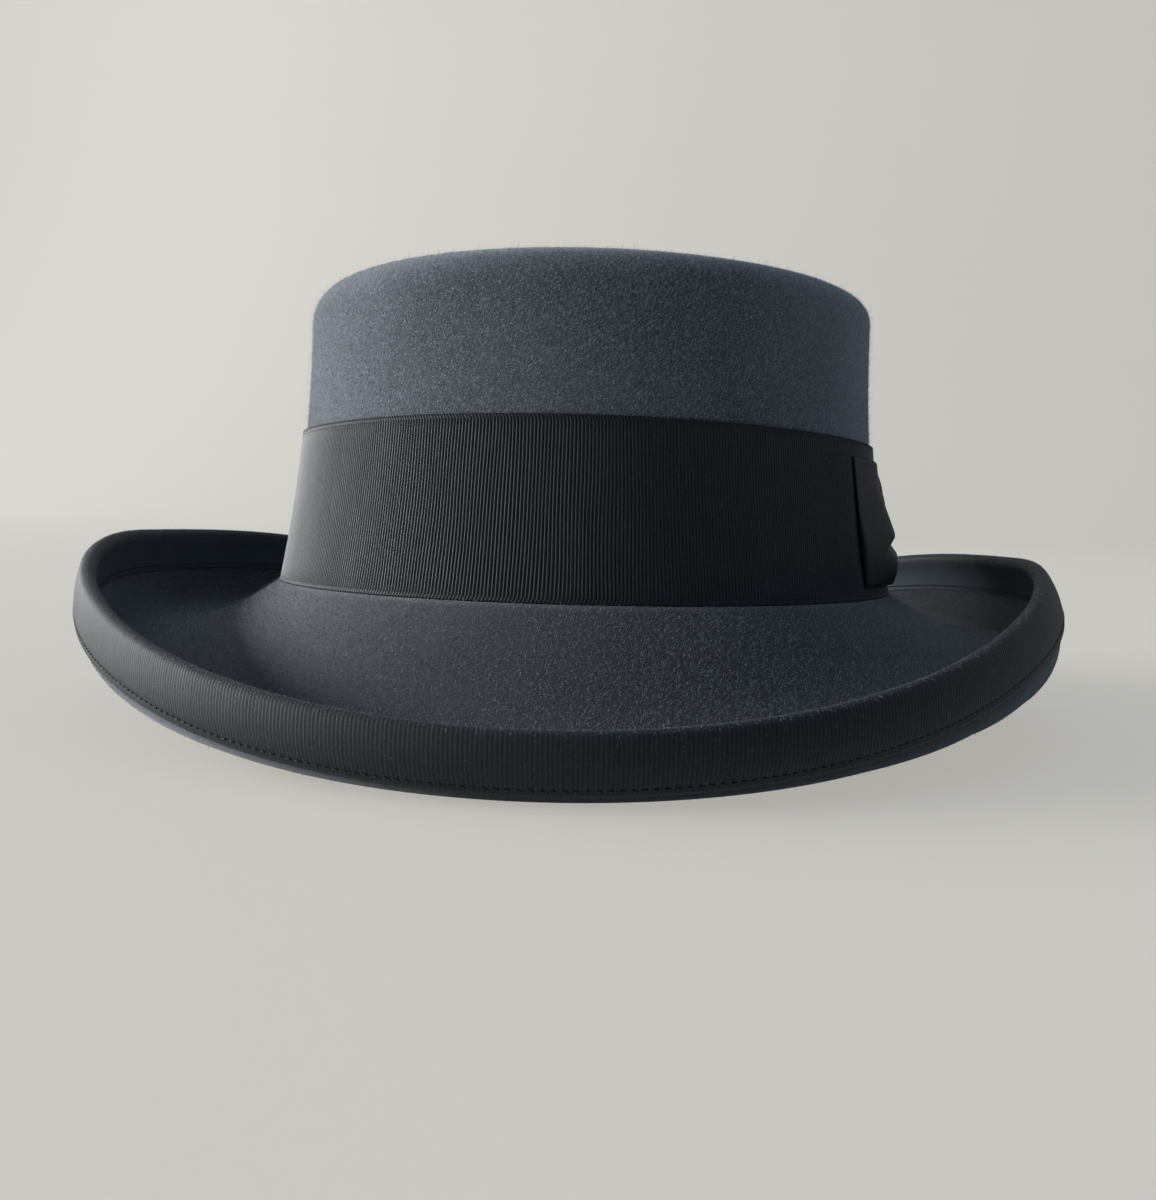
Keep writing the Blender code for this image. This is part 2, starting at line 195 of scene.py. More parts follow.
class InsideLook(bpy.types.PropertyGroup):
    """Sweatband and lining."""

    leather: colour("Leather", "Colour of the sweatband", (34, 31, 30))
    satin: colour("Satin", "Colour of the lining", (34, 36, 42))
    cord: colour("Cord", "Colour of the piping and the reed's cover", (28, 28, 31))
    pleat: length("Pleat", "Depth of the folds in the lining", 0.0004)


class StageLook(bpy.types.PropertyGroup):
    """Floor, light and camera."""

    floor: colour("Floor", "Colour of the floor and the backdrop", (206, 204, 198))
    key_power: number("Key light", "Power of the window light", 1600.0, unit="POWER")
    fill: share("Fill", "Strength of the light from all round", 0.45)
    glow: share("Glow", "Share of the floor that shows its plain colour", 0.68)
    camera_side: length("Camera side", "Camera's place to the side of the crown's axis", 0.00302)
    camera_distance: length("Camera distance", "Camera's distance from the crown's axis", 0.4054)
    camera_height: length("Camera height", "Camera's height over the headline", 0.01981)
    camera_yaw: turn("Yaw", "Turn to the right", -0.013)
    camera_pitch: turn("Pitch", "Turn upwards", -0.062)
    camera_roll: turn("Roll", "Tilt of the camera", 0.026)
    hat_turn: turn("Hat turn", "Turn of the hat to the camera", -0.063)
    lens: number("Lens", "Focal length for a 36 mm frame", 40.41, unit="CAMERA")


# Shapes of the crown and the brim


def draw_in(height):
    """How far the crown's wall has leaned in at this height."""
    rest = 1 - np.minimum(np.asarray(height, float) / SHOULDER, 1.0)
    return CROWN_DRAW_IN * (1 - rest**2)


def oval(angle, outward, height):
    """Points off the headline's oval, for arrays of angles, distances and heights."""
    values = (np.asarray(value, float) for value in (angle, outward, height))
    angle, outward, height = np.broadcast_arrays(*values)
    normal = np.stack([np.sin(angle) / HALF_WIDTH, -np.cos(angle) / HALF_LENGTH], -1)
    normal /= np.linalg.norm(normal, axis=-1, keepdims=True)
    base = np.stack([HALF_WIDTH * np.sin(angle), -HALF_LENGTH * np.cos(angle)], -1)
    return np.concatenate([base + outward[..., None] * normal, height[..., None]], -1)


def wall(angle, depth, height):
    """Points that lie depth inside the band's face and lean in with the crown."""
    return oval(angle, -depth - draw_in(height), height)


def headline(angle):
    """Points of the oval where crown and brim meet."""
    return oval(angle, 0.0, 0.0)


def running(steps):
    """What the steps add up to, from 0 on."""
    return np.concatenate([[0.0], np.cumsum(steps)])


def run_along(points):
    """Lengths along a line of points, from its start to each point."""
    return running(np.linalg.norm(np.diff(points, axis=0), axis=1))


def even_angles(path, count):
    """Angles of evenly spaced points along a closed path round the hat, and the path's length."""
    angles = np.linspace(0, 2 * np.pi, FINE_STEPS + 1)
    run = run_along(path(angles))
    return np.interp(np.arange(count) * run[-1] / count, run, angles), run[-1]


def path_length(path):
    return even_angles(path, 1)[1]


def ends_and_sides(angle, front, side, back):
    """Blends a value at the front, the sides and the back of the brim."""
    along, across = np.cos(angle), np.sin(angle)
    ahead = side + (front - side) * along**2 * (1 + FRONT_DIP_FULLNESS * across**2)
    return np.where(along > 0, ahead, side + (back - side) * along**4)


def bezier(points):
    """Curves through four control points, each given as arrays of reach and height."""
    step = np.linspace(0, 1, PROFILE_STEPS + 1)[None, :, None]
    a, b, c, d = (np.stack(np.broadcast_arrays(*point), -1)[:, None, :] for point in points)
    rest = 1 - step
    return rest**3 * a + 3 * rest**2 * step * b + 3 * rest * step**2 * c + step**3 * d


def rim_path(angle):
    across = np.sin(angle)
    x = RIM_HALF_WIDTH * across + RIM_SIDE_SHIFT * across**2
    height = ends_and_sides(angle, RIM_FRONT_HEIGHT, RIM_SIDE_HEIGHT, RIM_BACK_HEIGHT)
    return np.stack([x, -RIM_HALF_LENGTH * np.cos(angle), height + RIM_SIDE_TILT * across], -1)


def run_lengths(lines):
    """Lengths along each row of points."""
    steps = np.linalg.norm(np.diff(lines, axis=1), axis=-1)
    return np.concatenate([np.zeros((len(lines), 1)), np.cumsum(steps, axis=1)], 1)


def read_rows(where, known, values):
    """Interpolates each row of values at that row's places."""
    return np.stack([np.interp(*row) for row in zip(where, known, values)])


class BrimSections:
    """The brim cut at many angles: its upper face from the headline to the rim."""

    def __init__(self, angles):
        across = np.sin(angles)
        self.foot = headline(angles)
        rim = rim_path(angles)
        out = rim[:, :2] - self.foot[:, :2]
        reach = np.linalg.norm(out, axis=1)
        self.outward = np.concatenate([out / reach[:, None], np.zeros((len(angles), 1))], 1)
        height = rim[:, 2]
        drop = ends_and_sides(angles, GUTTER_END_DROP, GUTTER_SIDE_DROP, GUTTER_END_DROP)
        end = RIM_HALF_LENGTH - HALF_LENGTH - GUTTER_END_INSET
        side = RIM_HALF_WIDTH - HALF_WIDTH - GUTTER_SIDE_INSET
        gutter = ends_and_sides(angles, end, side, end)
        slope = ends_and_sides(angles, SLOPE_END, SLOPE_SIDE, SLOPE_END)
        lean = ends_and_sides(angles, LIP_LEAN_END, LIP_LEAN_SIDE, LIP_LEAN_END) + LIP_LEAN_SKEW * across
        first = SLOPE_HANDLE * np.hypot(gutter, drop)
        roll = ROLL_HANDLE * (reach - gutter) + ROLL_RISE_HANDLE * (height + drop)
        last = ROLL_HANDLE * (height + drop)
        lowest = (gutter, -drop)
        start = (0 * gutter, 0 * gutter)
        leaving = (first * np.cos(slope), -first * np.sin(slope))
        arriving = (reach - last * np.cos(lean), height - last * np.sin(lean))
        down = bezier([start, leaving, (gutter - FLOOR_HANDLE * gutter, -drop), lowest])
        up = bezier([lowest, (gutter + roll, -drop), arriving, (reach, height)])
        self.line = np.concatenate([down, up[:, 1:]], 1)
        along = np.gradient(self.line, axis=1)
        along /= np.linalg.norm(along, axis=-1, keepdims=True)
        self.normal = np.stack([-along[..., 1], along[..., 0]], -1)
        self.arc = run_lengths(self.line)
        self.under_arc = run_lengths(self.line - BRIM_FELT * self.normal)
        self.end = self.arc[:, -1]

    def at(self, arc, above):
        """Points at these arc lengths along the upper face, a row for each angle, moved off it by above."""
        spot = np.stack([read_rows(arc, self.arc, self.line[..., axis]) for axis in (0, 1)], -1)
        normal = np.stack([read_rows(arc, self.arc, self.normal[..., axis]) for axis in (0, 1)], -1)
        normal /= np.linalg.norm(normal, axis=-1, keepdims=True)
        spot = spot + np.asarray(above, float)[..., None] * normal
        return self.foot[:, None] + spot[..., :1] * self.outward[:, None] + spot[..., 1:] * UP

    def rings(self, arc, above):
        """The same points as rings round the hat."""
        return self.at(arc, above).transpose(1, 0, 2)

    def outer_arc(self, distance):
        """Arc lengths of points this far up the binding's outer face from its lower edge."""
        where = self.under_arc[:, -1:] - BINDING_OUTER_WIDTH + np.asarray(distance, float)[None, :]
        return read_rows(where, self.under_arc, self.arc)

    def fold_centre(self):
        return self.end - BINDING_THICKNESS - GAP - BRIM_FELT / 2

    def felt_edge(self):
        return self.end - BINDING_THICKNESS - 2 * GAP - 2 * WIRE_RADIUS

    def fold(self, spacing, turns):
        """Points of the binding's fold round the rim, from the under side to the upper side."""
        centre = self.at(self.fold_centre()[:, None], -BRIM_FELT / 2)
        across = self.at(self.fold_centre()[:, None], 0.0) - centre
        across /= np.linalg.norm(across, axis=-1, keepdims=True)
        ahead = np.cross(across, np.cross(self.outward, UP)[:, None])
        turns = np.asarray(turns)[None, :, None]
        return centre + (BRIM_FELT / 2 + spacing) * (np.cos(turns) * ahead + np.sin(turns) * across)


# Meshes


SURFACE_MAP = "surface"
LEVEL_SLOPE = 0.3


def make_mesh(name, points, faces, uv=None):
    """A smooth mesh from arrays of quads and of triangles. A closed one is turned to face out."""
    flat = [np.asarray(part) for part in faces if len(part)]
    volume = 0.0
    for part in flat:
        for step in range(1, part.shape[1] - 1):
            a, b, c = points[part[:, 0]], points[part[:, step]], points[part[:, step + 1]]
            volume += float((a * np.cross(b, c)).sum())
    if volume < 0:
        flat = [part[:, ::-1] for part in flat]
        uv = None if uv is None else [part[:, ::-1] for part in uv]
    corners = np.concatenate([part.ravel() for part in flat])
    counts = np.concatenate([np.full(len(part), part.shape[1]) for part in flat])
    mesh = bpy.data.meshes.new(name)
    mesh.vertices.add(len(points))
    mesh.vertices.foreach_set("co", np.asarray(points, np.float32).ravel())
    mesh.loops.add(len(corners))
    mesh.loops.foreach_set("vertex_index", corners.astype(np.int32))
    mesh.polygons.add(len(counts))
    mesh.polygons.foreach_set("loop_start", (np.cumsum(counts) - counts).astype(np.int32))
    if uv is not None:
        places = np.concatenate([part.reshape(-1, 2) for part in uv])
        layer = mesh.uv_layers.new(name=SURFACE_MAP)
        layer.data.foreach_set("uv", places.astype(np.float32).ravel())
    mesh.update(calc_edges=True)
    mesh.shade_smooth()
    return mesh


def attach(mesh, name, values):
    """Stores a number or a vector for each point."""
    values = np.asarray(values, np.float32)
    kind, field = ("FLOAT", "value") if values.ndim == 1 else ("FLOAT_VECTOR", "vector")
    mesh.attributes.new(name, kind, "POINT").data.foreach_set(field, values.ravel())


def grid_faces(rows, columns, round_rows=False):
    """Quads of a grid that closes round the hat, and each corner's row and column before the wrap."""
    row, column = np.meshgrid(np.arange(rows - (not round_rows)), np.arange(columns), indexing="ij")
    row, column = row.ravel(), column.ravel()
    row_of = np.stack([row, row, row + 1, row + 1], 1)
    column_of = np.stack([column, column + 1, column + 1, column], 1)
    return (row_of % rows) * columns + column_of % columns, row_of, column_of


def ring_steps(rings):
    """Distances from point to point round each ring."""
    return np.linalg.norm(np.roll(rings, -1, 1) - rings, axis=-1)


def ring_mesh(name, rings, round_rows=True):
    """A mesh through rings of points round the hat, with a UV map in metres along its surface."""
    rings = np.asarray(rings)
    rows, columns = rings.shape[:2]
    quads, row_of, column_of = grid_faces(rows, columns, round_rows)
    run = running(ring_steps(rings).mean(0))
    rise = running(np.linalg.norm(np.roll(rings, -1, 0) - rings, axis=-1).mean(1))
    uv = np.stack([run[column_of], rise[row_of]], -1)
    return make_mesh(name, rings.reshape(-1, 3) + PLACE, [quads], [uv])


def capped_mesh(name, rings):
    """A closed mesh through rings of points, with its first and last ring drawn together to a point."""
    rings = np.asarray(rings)
    rows, columns = rings.shape[:2]
    quads, row_of, column_of = grid_faces(rows, columns)
    climbs = np.linalg.norm(np.diff(rings, axis=0), axis=-1)
    run = running(ring_steps(rings).max(0))
    rise = running(climbs.mean(1))
    uv = np.stack([run[column_of], rise[row_of]], -1)
    poles = np.stack([rings[0].mean(0), rings[-1].mean(0)])
    points = np.concatenate([rings.reshape(-1, 3), poles])
    here = np.arange(columns)
    there = (here + 1) % columns
    first = np.stack([there, here, np.full(columns, rows * columns)], 1)
    base = (rows - 1) * columns
    final = np.stack([base + here, base + there, np.full(columns, rows * columns + 1)], 1)
    # Near flat faces take their place from above, so that the pattern doesn't shrink to the middle
    level = np.abs(np.diff(rings[..., 2], axis=0)).max(1) < LEVEL_SLOPE * climbs.max(1)
    flat_faces = level[row_of[:, 0]]
    uv[flat_faces] = points[quads[flat_faces]][..., :2]
    ends = np.concatenate([first, final])
    return make_mesh(name, points + PLACE, [quads, ends], [uv, points[ends][..., :2]])


def add_object(name, data):
    piece = bpy.data.objects.new(name, data)
    bpy.context.scene.collection.objects.link(piece)
    return piece


def put_piece(piece, material, slot, *nodes):
    """Gives a finished piece its material and its body, and hides the solids that it stands for."""
    piece.data.materials.clear()
    piece.data.materials.append(material)
    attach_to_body(piece, "root")
    if nodes:
        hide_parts(*nodes)
    return piece


def put_rings(name, rings, material, slot, node):
    """A piece made of closed rings of points."""
    return put_piece(add_object(name, ring_mesh(name, rings)), material, slot, node)


# Node trees


class Nodes:
    """Adds nodes to one tree and feeds their sockets with values or with other sockets."""

    def __init__(self, tree):
        self.tree = tree

    def add(self, kind, inputs=None, **settings):
        node = self.tree.nodes.new(kind)
        for name, value in settings.items():
            setattr(node, name, value)
        for key, value in (inputs or {}).items():
            self.feed(node.inputs[key], value)
        return node

    def feed(self, socket, value):
        if isinstance(value, bpy.types.NodeSocket):
            self.tree.links.new(value, socket)
        else:
            socket.default_value = value

    def fill(self, node, values):
        """Feeds the sockets in use, in their order, and returns the output in use."""
        sockets = [socket for socket in node.inputs if socket.enabled]
        for socket, value in zip(sockets, values):
            self.feed(socket, value)
        return next(socket for socket in node.outputs if socket.enabled)

    def math(self, operation, *values):
        return self.fill(self.add("ShaderNodeMath", operation=operation), values)

    def vector(self, operation, *values):
        return self.fill(self.add("ShaderNodeVectorMath", operation=operation), values)

    def total(self, first, *others):
        for other in others:
            first = self.math("ADD", first, other)
        return first

    def product(self, first, *others):
        for other in others:
            first = self.math("MULTIPLY", first, other)
        return first

    def scaled(self, vector, amount):
        return self.vector("SCALE", vector, amount)

    def joined(self, x=0.0, y=0.0, z=0.0):
        return self.add("ShaderNodeCombineXYZ", {"X": x, "Y": y, "Z": z}).outputs[0]

    def axes(self, vector):
        return self.add("ShaderNodeSeparateXYZ", {0: vector}).outputs

    def attribute(self, name):
        """A number on the mesh, as a material reads it."""
        return self.add("ShaderNodeAttribute", attribute_name=name).outputs["Fac"]

    def mix(self, amount, first, second):
        node = self.add("ShaderNodeMix", data_type="RGBA")
        colours = [socket for socket in node.inputs if socket.type == "RGBA"]
        for socket, value in zip([node.inputs[0], *colours], (amount, first, second)):
            self.feed(socket, value)
        return next(socket for socket in node.outputs if socket.type == "RGBA")

    def spread(self, value, low, high, to_low=0.0, to_high=1.0):
        """Maps a value from one range to another, and holds it there."""
        names = ("Value", "From Min", "From Max", "To Min", "To Max")
        node = self.add("ShaderNodeMapRange", dict(zip(names, (value, low, high, to_low, to_high))))
        return node.outputs[0]

    def noise(self, place, scale, detail=2.0, roughness=0.5):
        inputs = {"Vector": place, "Scale": scale, "Detail": detail, "Roughness": roughness}
        return self.add("ShaderNodeTexNoise", inputs).outputs[0]

    def turned(self, place, rotation, size):
        """Coordinates turned by a rotation and measured in units of size."""
        inputs = {"Vector": place, "Rotation": rotation, "Scale": size}
        return self.add("ShaderNodeMapping", inputs, vector_type="TEXTURE").outputs[0]


def new_group(name, kind, inputs, outputs):
    """An empty node group with named sockets, as its nodes, its inputs and its output node."""
    tree = bpy.data.node_groups.new(name, kind)
    for label, socket in inputs.items():
        tree.interface.new_socket(label, in_out="INPUT", socket_type=socket)
    for label, socket in outputs.items():
        tree.interface.new_socket(label, in_out="OUTPUT", socket_type=socket)
    nodes = Nodes(tree)
    return nodes, nodes.add("NodeGroupInput").outputs, nodes.add("NodeGroupOutput")


def run_tree(name, base, tree, values):
    """An object that holds what a geometry tree makes of a base mesh, as a plain mesh."""
    piece = add_object(name, base)
    modifier = piece.modifiers.new(tree.name, "NODES")
    modifier.node_group = tree
    for item in tree.interface.items_tree:
        if item.item_type == "SOCKET" and item.in_out == "INPUT" and item.name in values:
            modifier[item.identifier] = values[item.name]
    graph = bpy.context.evaluated_depsgraph_get()
    solid = piece.evaluated_get(graph)
    made = bpy.data.meshes.new_from_object(solid, preserve_all_data_layers=True, depsgraph=graph)
    piece.modifiers.remove(modifier)
    piece.data = made
    bpy.data.meshes.remove(base)
    made.name = name
    return piece


FLOAT, INT, VECTOR = "NodeSocketFloat", "NodeSocketInt", "NodeSocketVector"
GEOMETRY, MATERIAL = "NodeSocketGeometry", "NodeSocketMaterial"


def shared_tree(name, build):
    """A node group by name, built the first time that it is asked for."""
    return bpy.data.node_groups.get(name) or build(name)


def named(nodes, name, kind="FLOAT"):
    return nodes.add("GeometryNodeInputNamedAttribute", {"Name": name}, data_type=kind).outputs["Attribute"]


def store(nodes, geometry, name, value, kind="FLOAT", domain="POINT"):
    inputs = {"Geometry": geometry, "Name": name, "Value": value}
    node = nodes.add("GeometryNodeStoreNamedAttribute", inputs, data_type=kind, domain=domain)
    return node.outputs[0]


def random_value(nodes, low, high, seed, kind="FLOAT"):
    node = nodes.add("FunctionNodeRandomValue", {"Seed": seed}, data_type=kind)
    return nodes.fill(node, (low, high))


def aligned(nodes, vector, axis, rotation=None, pivot="AUTO"):
    """A rotation that turns an axis to a vector."""
    inputs = {"Vector": vector} | ({} if rotation is None else {"Rotation": rotation})
    kind = "FunctionNodeAlignRotationToVector"
    return nodes.add(kind, inputs, axis=axis, pivot_axis=pivot).outputs[0]


def copies_at(nodes, points, shape, rotation, scale):
    inputs = {"Points": points, "Instance": shape, "Rotation": rotation, "Scale": scale}
    return nodes.add("GeometryNodeInstanceOnPoints", inputs).outputs[0]


def realized(nodes, shape):
    return nodes.add("GeometryNodeRealizeInstances", {"Geometry": shape}).outputs[0]


def shape_tree(name, inputs):
    """An empty geometry group that takes a mesh and a material beside its own inputs."""
    inputs = {"Geometry": GEOMETRY} | inputs | {"Material": MATERIAL}
    return new_group(name, "GeometryNodeTree", inputs, {"Geometry": GEOMETRY})


def end_tree(nodes, shape, material, result):
    shape = nodes.add("GeometryNodeSetMaterial", {"Geometry": shape, "Material": material}).outputs[0]
    nodes.feed(result.inputs[0], shape)
    return nodes.tree


FULL_RELIEF = 0.0002
RIB_SLANT = 0.6
RIB_FULLNESS = 0.8


def rib_tree(name):
    """Presses ribs into a ribbon. Its points hold run, edge, ribbed and hem."""
    inputs = dict.fromkeys(("Pitch", "Depth", "Selvedge", "Scallop"), FLOAT)
    nodes, given, result = shape_tree(name, inputs)
    into_edge = nodes.math("MAXIMUM", nodes.math("SUBTRACT", given["Selvedge"], named(nodes, "edge")), 0.0)
    place = nodes.total(named(nodes, "run"), nodes.product(into_edge, RIB_SLANT))
    phase = nodes.math("DIVIDE", place, given["Pitch"])
    wave = nodes.math("ABSOLUTE", nodes.math("SINE", nodes.product(phase, math.pi)))
    rib = nodes.math("POWER", wave, RIB_FULLNESS)
    relief = nodes.math("MINIMUM", nodes.math("DIVIDE", given["Depth"], FULL_RELIEF), 1.0)
    # The rib's profile, weaker where the ribs are shallow, is kept for the painted shade in the grooves
    shade = nodes.total(nodes.product(nodes.math("SUBTRACT", rib, 0.5), relief), 0.5)
    shape = store(nodes, given["Geometry"], "rib", shade)
    carve = nodes.product(nodes.math("SUBTRACT", rib, 1.0), given["Depth"], named(nodes, "ribbed"))
    inward = nodes.scaled(nodes.add("GeometryNodeInputNormal").outputs[0], carve)
    outward = nodes.scaled(named(nodes, "hem", "FLOAT_VECTOR"), nodes.product(rib, given["Scallop"]))
    offset = nodes.vector("ADD", inward, outward)
    shape = nodes.add("GeometryNodeSetPosition", {"Geometry": shape, "Offset": offset}).outputs[0]
    return end_tree(nodes, realized(nodes, shape), given["Material"], result)


FIBRE_LENGTHS = (0.45, 1.2)
FIBRE_SIDES = 3


def nap_tree(name):
    """Grows fibres on a felt face. Its points hold comb, the way that the nap lies."""
    inputs = dict.fromkeys(("Density", "Length", "Width", "Lift", "Thickness", "Bend"), FLOAT)
    inputs |= {"Spread": VECTOR, "Segments": INT, "Seed": INT}
    nodes, given, result = shape_tree(name, inputs)
    ground = {"Mesh": given["Geometry"], "Density": given["Density"], "Seed": given["Seed"]}
    spots = nodes.add("GeometryNodeDistributePointsOnFaces", ground).outputs
    lift = nodes.scaled(spots["Normal"], given["Lift"])
    back = nodes.vector("MULTIPLY", given["Spread"], (-1.0, -1.0, -1.0))
    stray = random_value(nodes, back, given["Spread"], nodes.total(given["Seed"], 1), "FLOAT_VECTOR")
    way = nodes.vector("ADD", nodes.vector("ADD", named(nodes, "comb", "FLOAT_VECTOR"), lift), stray)
    aim = aligned(nodes, spots["Normal"], "X", aligned(nodes, way, "Z"), "Z")
    radius = nodes.math("DIVIDE", given["Width"], 2.0)
    sizes = {"Vertices": FIBRE_SIDES, "Side Segments": given["Segments"], "Depth": given["Length"]}
    sizes |= {"Radius Top": 0.0, "Radius Bottom": radius}
    cone = nodes.add("GeometryNodeMeshCone", sizes, fill_type="NGON").outputs["Mesh"]
    place = nodes.axes(nodes.add("GeometryNodeInputPosition").outputs[0])
    along = nodes.math("DIVIDE", place["Z"], given["Length"])
    cone = store(nodes, cone, "along", along)
    cone = store(nodes, cone, "side", nodes.math("DIVIDE", place["X"], given["Width"]))
    shift = nodes.joined(x=nodes.product(along, along, given["Bend"]))
    fibre = nodes.add("GeometryNodeSetPosition", {"Geometry": cone, "Offset": shift}).outputs[0]
    size = random_value(nodes, *FIBRE_LENGTHS, nodes.total(given["Seed"], 2))
    scale = nodes.joined(given["Thickness"], 1.0, size)
    copies = copies_at(nodes, spots["Points"], fibre, aim, scale)
    tone = random_value(nodes, 0.0, 1.0, nodes.total(given["Seed"], 3))
    shape = realized(nodes, store(nodes, copies, "tone", tone, domain="INSTANCE"))
    # Fibres of one tone share a narrow strip of the map
    across = nodes.total(nodes.product(named(nodes, "tone"), 0.98), 0.01)
    across = nodes.total(across, nodes.product(named(nodes, "side"), 0.006))
    upward = nodes.total(nodes.product(named(nodes, "along"), 0.2), 0.4)
    shape = store(nodes, shape, "OFBake", nodes.joined(across, upward), "FLOAT2", "CORNER")
    return end_tree(nodes, shape, given["Material"], result)


def stitch_tree(name):
    """Lays a short thread at each point of a line. Its points hold ahead and out."""
    nodes, given, result = shape_tree(name, {"Length": FLOAT, "Width": FLOAT})
    sizes = {"Segments": 6, "Rings": 5, "Radius": 0.5}
    bead = nodes.add("GeometryNodeMeshUVSphere", sizes).outputs["Mesh"]
    ahead, out = named(nodes, "ahead", "FLOAT_VECTOR"), named(nodes, "out", "FLOAT_VECTOR")
    aim = aligned(nodes, ahead, "Z", aligned(nodes, out, "X"), "X")
    scale = nodes.joined(given["Width"], given["Width"], given["Length"])
    shape = realized(nodes, copies_at(nodes, given["Geometry"], bead, aim, scale))
    shape = nodes.add("GeometryNodeSetShadeSmooth", {"Geometry": shape}).outputs[0]
    return end_tree(nodes, shape, given["Material"], result)


# Materials


# Depths of the relief in each finish, and sizes of the patches that wear leaves on it
FELT_RELIEF, FELT_PATCH = 0.00016, 0.05
RIBBON_RELIEF, RIBBON_PATCH = 0.00008, 0.012
LEATHER_RELIEF, LEATHER_PATCH = 0.00018, 0.03
SATIN_RELIEF, SATIN_PATCH = 0.00005, 0.02
STEEL_RELIEF, STEEL_PATCH = 0.00004, 0.008
THREAD_RELIEF = 0.0001
CORD_RELIEF = 0.00012

# Threads as their length and width on the surface
RIB_THREAD_WIDTH = 0.00016
RIB_EVEN_LENGTH = 0.02
SATIN_THREAD = (0.00015, 0.004, 1.0)
CORD_STRAND = (0.0012, 0.0001, 1.0)
CORD_LEAN = (0.0, 0.0, 0.5)
LEATHER_CELL = 0.0011
RIBBON_INSIDE = (0.0018, 0.002)

# Light that the nap and the ribbons throw back
CROWN_SHEEN = 0.45
BRIM_SHEEN = 0.42
FIBRE_SHEEN = 0.3
UNDER_SHEEN = 0.1
FELT_TINT = (0.66, 0.71, 0.78, 1.0)
RIBBON_SHEEN_TINT = (0.72, 0.84, 0.96, 1.0)
RIBBON_TINT = (0.84, 0.93, 1.0, 1.0)
BAND_SHINE = 0.48
BINDING_SHINE = 0.44
BOW_SHINE = 0.36

# Shades of the wire
STEEL_DARK = (0.32, 0.32, 0.33, 1.0)
STEEL_LIGHT = (0.5, 0.5, 0.51, 1.0)
STEEL_STAIN = (0.2, 0.18, 0.16, 1.0)


def new_material(name, constants):
    """A material with one Principled shader, whose even values are set on the shader itself."""
    material = bpy.data.materials.new(name)
    material.use_nodes = True
    shader = material.node_tree.nodes["Principled BSDF"]
    for socket, value in constants.items():
        shader.inputs[socket].default_value = value
    return material, Nodes(material.node_tree), shader.inputs


def rgba(values, lightness=1.0):
    return (*(lightness * value for value in values), 1.0)


def dress(nodes, shader, base, roughness, height, relief):
    """Feeds a shader its colour, its roughness and a relief of this depth."""
    nodes.feed(shader["Base Color"], base)
    nodes.feed(shader["Roughness"], roughness)
    inputs = {"Height": height, "Distance": relief, "Strength": 1.0}
    nodes.feed(shader["Normal"], nodes.add("ShaderNodeBump", inputs).outputs[0])


def surface_uv(nodes):
    return nodes.add("ShaderNodeUVMap", uv_map=SURFACE_MAP).outputs[0]


def object_place(nodes):
    return nodes.add("ShaderNodeTexCoord").outputs["Object"]


def yarn(nodes, place, size, rotation=(0.0, 0.0, 0.0), detail=2.0, roughness=0.6):
    """Noise drawn out into threads of this size."""
    return nodes.noise(nodes.turned(place, rotation, size), 1.0, detail, roughness)


def use_group(nodes, name, build, inputs):
    return nodes.add("ShaderNodeGroup", inputs, node_tree=shared_tree(name, build)).outputs


def soft_wear_group(name):
    """Slow patches of handling and dust, from 0 to 1."""
    inputs = {"Place": VECTOR, "Size": FLOAT}
    nodes, given, result = new_group(name, "ShaderNodeTree", inputs, {"Patches": FLOAT})
    wide = nodes.noise(given["Place"], nodes.math("DIVIDE", 1.0, given["Size"]), 3.0, 0.55)
    nodes.feed(result.inputs["Patches"], nodes.spread(wide, 0.3, 0.7))
    return nodes.tree


def worn(nodes, size):
    """Wear on a material, in patches of about this size."""
    inputs = {"Place": object_place(nodes), "Size": size}
    return use_group(nodes, "Soft wear", soft_wear_group, inputs)["Patches"]


def felt_shades(look, depth):
    """The felt's three shades, made lighter or darker by depth."""
    return [rgba(shade, depth) for shade in (look.dark, look.mid, look.light)]


# Layers of streaks in the nap, as their lean from the comb, their length and their width
STREAKS = ((0.0, 1.0, 0.2), (0.45, 0.8, 0.22), (-0.5, 0.7, 0.24))


def felt_group(name):
    """Brushed nap: streaks along the comb in three sizes, as a mask and a height."""
    inputs = {"Surface": VECTOR, "Place": VECTOR, "Comb": FLOAT, "Length": FLOAT}
    nodes, given, result = new_group(name, "ShaderNodeTree", inputs, {"Nap": FLOAT, "Height": FLOAT})
    streaks = 0.0
    for lean, stretch, slim in STREAKS:
        angle = nodes.joined(z=nodes.total(given["Comb"], lean))
        long = nodes.product(given["Length"], stretch)
        size = nodes.joined(long, nodes.product(long, slim), 1.0)
        layer = yarn(nodes, given["Surface"], size, angle)
        streaks = nodes.total(streaks, nodes.math("DIVIDE", layer, float(len(STREAKS))))
    grain = nodes.noise(given["Place"], 2700.0, 3.0, 0.65)
    tufts = nodes.noise(given["Place"], 420.0, 3.0, 0.6)
    layers = ((streaks, 0.5), (grain, 0.44), (tufts, 0.06))
    nap = nodes.total(*(nodes.product(*layer) for layer in layers))
    nodes.feed(result.inputs["Nap"], nodes.spread(nap, 0.4, 0.62))
    nodes.feed(result.inputs["Height"], nap)
    return nodes.tree


